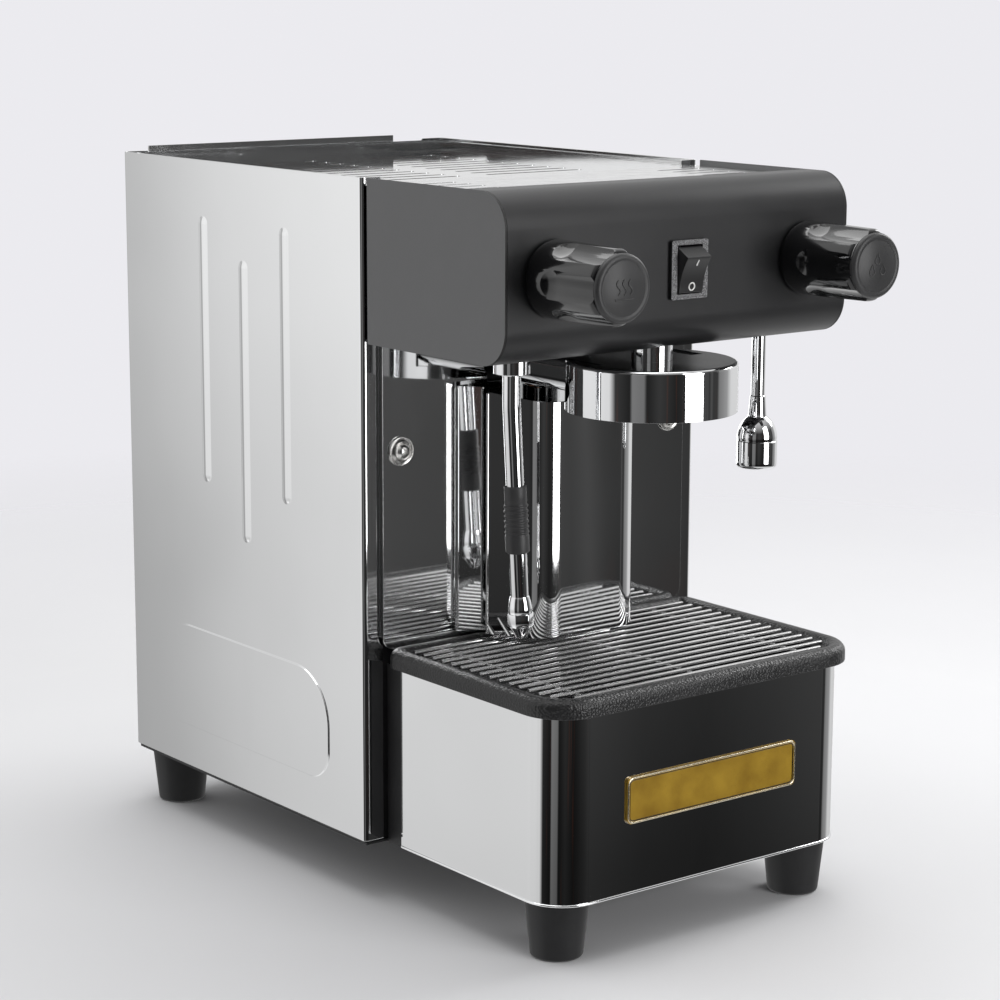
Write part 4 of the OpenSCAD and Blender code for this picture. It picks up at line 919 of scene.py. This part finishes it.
def pan_screw(radius, rise, cup=None):
    """A pan head with a cross recess, and a cup washer under it if it has one, in millimetres."""
    top = rise * 0.4 + radius * 0.63
    crown = bow((radius * 0.35, rise * 0.4), radius * 0.62, 8, 80, 5)
    head = turned([(0, 0), (radius, 0), (radius, rise * 0.45)] + crown + [(0, top)], 36)
    tool = cross_recess(radius * 1.15, 1.3)
    settle(tool, Matrix.Translation((0, 0, top * MM)))
    cut(head, tool)
    smooth(head, 40)
    if cup:
        bore = 2.6
        lip = [(bore, 0.1), (cup, 0.1), (cup, 0.6)] + bow((cup - 0.8, 0.6), 0.8, 0, 110, 5)
        dish = [(cup - 1.9, 0.9), (cup * 0.66, 1.9), (cup * 0.62, 2.0), (cup * 0.57, 1.5)]
        washer = turned(lip + dish + [(bore, 1.0), (bore, 0.1)], 48)
        smooth(washer, 40)
        settle(head, Matrix.Translation((0, 0, 1.2 * MM)))
        head = joined(head, washer)
    return head


def screw_row(name, node, screw, places, turn):
    """Copies of one screw, each at its place and each stopped at its own angle."""
    first_stop, step = 0.5, 1.3
    row = []
    for i, place in enumerate(places):
        one = copied(screw)
        settle(one, Matrix.Translation(place) @ turn @ Matrix.Rotation(first_stop + i * step, 4, "Z"))
        row.append(one)
    bpy.data.objects.remove(screw)
    finish_off(joined(*row), name, "machine", "screw_steel", node)


def splash_screws():
    """Two screws in cup washers, near the ends of the splash panel."""
    low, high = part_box("splash_screws")
    side, face, middle = (high.x - low.x) / 2 - 9 * MM, low.y + 3.8 * MM, (low.z + high.z) / 2
    places = [(-side, face, middle), (side, face, middle)]
    screw_row("splash_screws_crossed", "splash_screws", pan_screw(4.8, 1.4, 9.0), places, TO_FRONT)


def rear_screws():
    """Three plain screws up each side of the rear wall."""
    low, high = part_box("rear_screws")
    radius = 3.6
    side, edge = (high.x - low.x) / 2 - radius * MM, radius * MM
    heights = (low.z + edge, (low.z + high.z) / 2, high.z - edge)
    places = [(s * side, low.y, z) for s in (-1, 1) for z in heights]
    screw_row("rear_screws_crossed", "rear_screws", pan_screw(radius, 0.8), places, TO_BACK)


splash_screws()
rear_screws()


# ---------------------------------------------------------------- studio

# Brightness of the room that the steel mirrors: compass angle (0 in front, 90 to the right), level
ROOM = (
    (-180, 0.78), (-166, 0.5), (-151, 0.48), (-149.3, 0.56), (-148.3, 0.74), (-147, 0.84),
    (-145.4, 0.95), (-141, 0.95), (-118, 0.95), (-98, 0.9), (-90, 0.05), (-69, 0.02), (-66, 0.24),
    (-50, 0.2), (-47, 0.02), (-30, 0.05), (-8, 0.02), (20, 0.05), (33, 0.07), (35.8, 0.08),
    (37.5, 0.055), (39.7, 0.085), (41.4, 0.035), (44, 0.06), (46.5, 0.1), (49, 0.05), (57, 0.05),
    (61, 0.25), (79, 0.4), (90, 0.85), (180, 0.78),
)

BLACK, WHITE = (0.0, 0.0, 0.0), (1.0, 1.0, 1.0)
EMBER = (0.5, 0.12, 0.04)
BACKDROP = (0.835, 0.83, 0.865)


def studio_world():
    """Pale paper behind and beside the machine, a dim room in front, a plain backdrop for the camera."""
    room = Finish("studio", "worlds", "Generated")
    bpy.context.scene.world = room.owner
    x, y, z = (room.add("ShaderNodeSeparateXYZ", {}, {"Vector": room.place}, axis) for axis in "XYZ")
    compass = room.add("ShaderNodeMath", {"operation": "ARCTAN2"}, {0: x, 1: 0 - y}) / (2 * math.pi) + 0.5
    drift = room.noise(3.2, 3, 0.55)
    stops = [(angle / 360 + 0.5, level) for angle, level in ROOM]
    wavering = compass + (drift - 0.5) * 0.012
    around = room.add("ShaderNodeValToRGB", {"stops": stops}, {"Fac": wavering}, "Color")
    # z runs from -1 straight down to 1 straight up, and is 0 at the horizon
    ground = room.span(z, -0.34, -0.05, 0.68, 0.97) * room.span(z + around * 0.4, -0.3, -0.18, 0.42, 1.0)
    ceiling = room.span(z, 0.3, 0.85, 0.0, 0.48)
    underfoot = room.span(z, -0.4, -0.6, 0.0, 0.7)
    level = around * ground * (0.9 + drift * 0.2) + ceiling + underfoot
    tone = room.blend(level, BLACK, WHITE)
    # A few warm glints where the room is darkest
    glints = room.span(room.noise(9, 2, 0.5), 0.62, 0.7, 0.0, 0.5) * room.span(around, 0.09, 0.03, 0.0, 1.0)
    tone = room.blend(glints * 0.12, tone, EMBER)
    seen = room.add("ShaderNodeLightPath", {}, {}, "Is Camera Ray")
    plain = room.blend(seen, tone, BACKDROP)
    background = room.add("ShaderNodeBackground", {}, {"Color": plain, "Strength": 1.0})
    room.add("ShaderNodeOutputWorld", {}, {"Surface": background})


def studio_floor():
    """Pale paper that fades out into the backdrop all round."""
    bpy.ops.object.select_all(action="DESELECT")
    bpy.ops.mesh.primitive_plane_add(size=8, location=(0, 0, 0))
    floor = bpy.context.active_object
    floor.name = "studio_floor"
    fade_start, fade_end = 0.55, 1.5
    f = Finish("pale paper")
    reach = f.add("ShaderNodeVectorMath", {"operation": "LENGTH"}, {0: f.place}, "Value")
    floor.data.materials.append(
        f.done(
            Base_Color=f.blend(f.noise(3, 3), (0.66, 0.66, 0.672), (0.7, 0.7, 0.712)),
            Roughness=0.8,
            Alpha=f.span(reach, fade_start, fade_end, 1.0, 0.0),
            Normal=f.bump(f.noise(5, 3), 1.2 * MM),
        )
    )
    floor.visible_glossy = False


def lamp(name, place, aim, size, power, only_on=None):
    """A softbox; one that is only on mirrored or only on matt surfaces leaves the other kind alone."""
    light = bpy.data.lights.new(name, "AREA")
    light.shape = "RECTANGLE"
    light.size, light.size_y = size
    light.energy = power
    holder = bpy.data.objects.new(name, light)
    bpy.context.scene.collection.objects.link(holder)
    holder.location = place
    holder.rotation_mode = "QUATERNION"
    holder.rotation_quaternion = (Vector(aim) - Vector(place)).to_track_quat("-Z", "Y")
    holder.visible_camera = False
    holder.visible_diffuse = only_on != "mirrored"
    holder.visible_glossy = only_on != "matt"


def studio_camera():
    """The camera, left of the machine and a little above it, set by its turn, tilt and roll."""
    turn, tilt, roll = math.radians(-37.872), math.radians(11.188), math.radians(0.208)
    back = Vector((math.sin(turn) * math.cos(tilt), -math.cos(turn) * math.cos(tilt), math.sin(tilt)))
    right = (-back).cross(Vector((0, 0, 1))).normalized()
    up = right.cross(-back)
    across = right * math.cos(roll) + up * math.sin(roll)
    upright = up * math.cos(roll) - right * math.sin(roll)
    data = bpy.data.cameras.new("studio_camera")
    data.sensor_width = 36
    data.lens = 97.32
    data.clip_start, data.clip_end = 0.05, 30
    camera = bpy.data.objects.new("studio_camera", data)
    bpy.context.scene.collection.objects.link(camera)
    matrix = Matrix((across, upright, back)).transposed().to_4x4()
    matrix.translation = Vector((-1.02534, -1.32312, 0.5575))
    camera.matrix_world = matrix
    bpy.context.scene.camera = camera


studio_world()
studio_floor()
lamp("softbox_overhead", (0.0, 0.25, 1.9), aim=(0, 0, 0.2), size=(1.5, 1.5), power=15)
lamp("window_front", (0.4686, -1.64, 0.6), aim=(0, -0.1, 0.3), size=(0.78, 1.6), power=17, only_on="mirrored")
lamp("softbox_front", (0.35, -1.7, 0.42), aim=(0, -0.1, 0.2), size=(0.9, 0.8), power=15, only_on="matt")
lamp("softbox_right", (1.7, -0.2, 1.2), aim=(0, 0, 0.25), size=(0.8, 0.8), power=13)
studio_camera()

bpy.context.scene.view_settings.view_transform = "Standard"
bpy.context.scene.view_settings.look = "None"
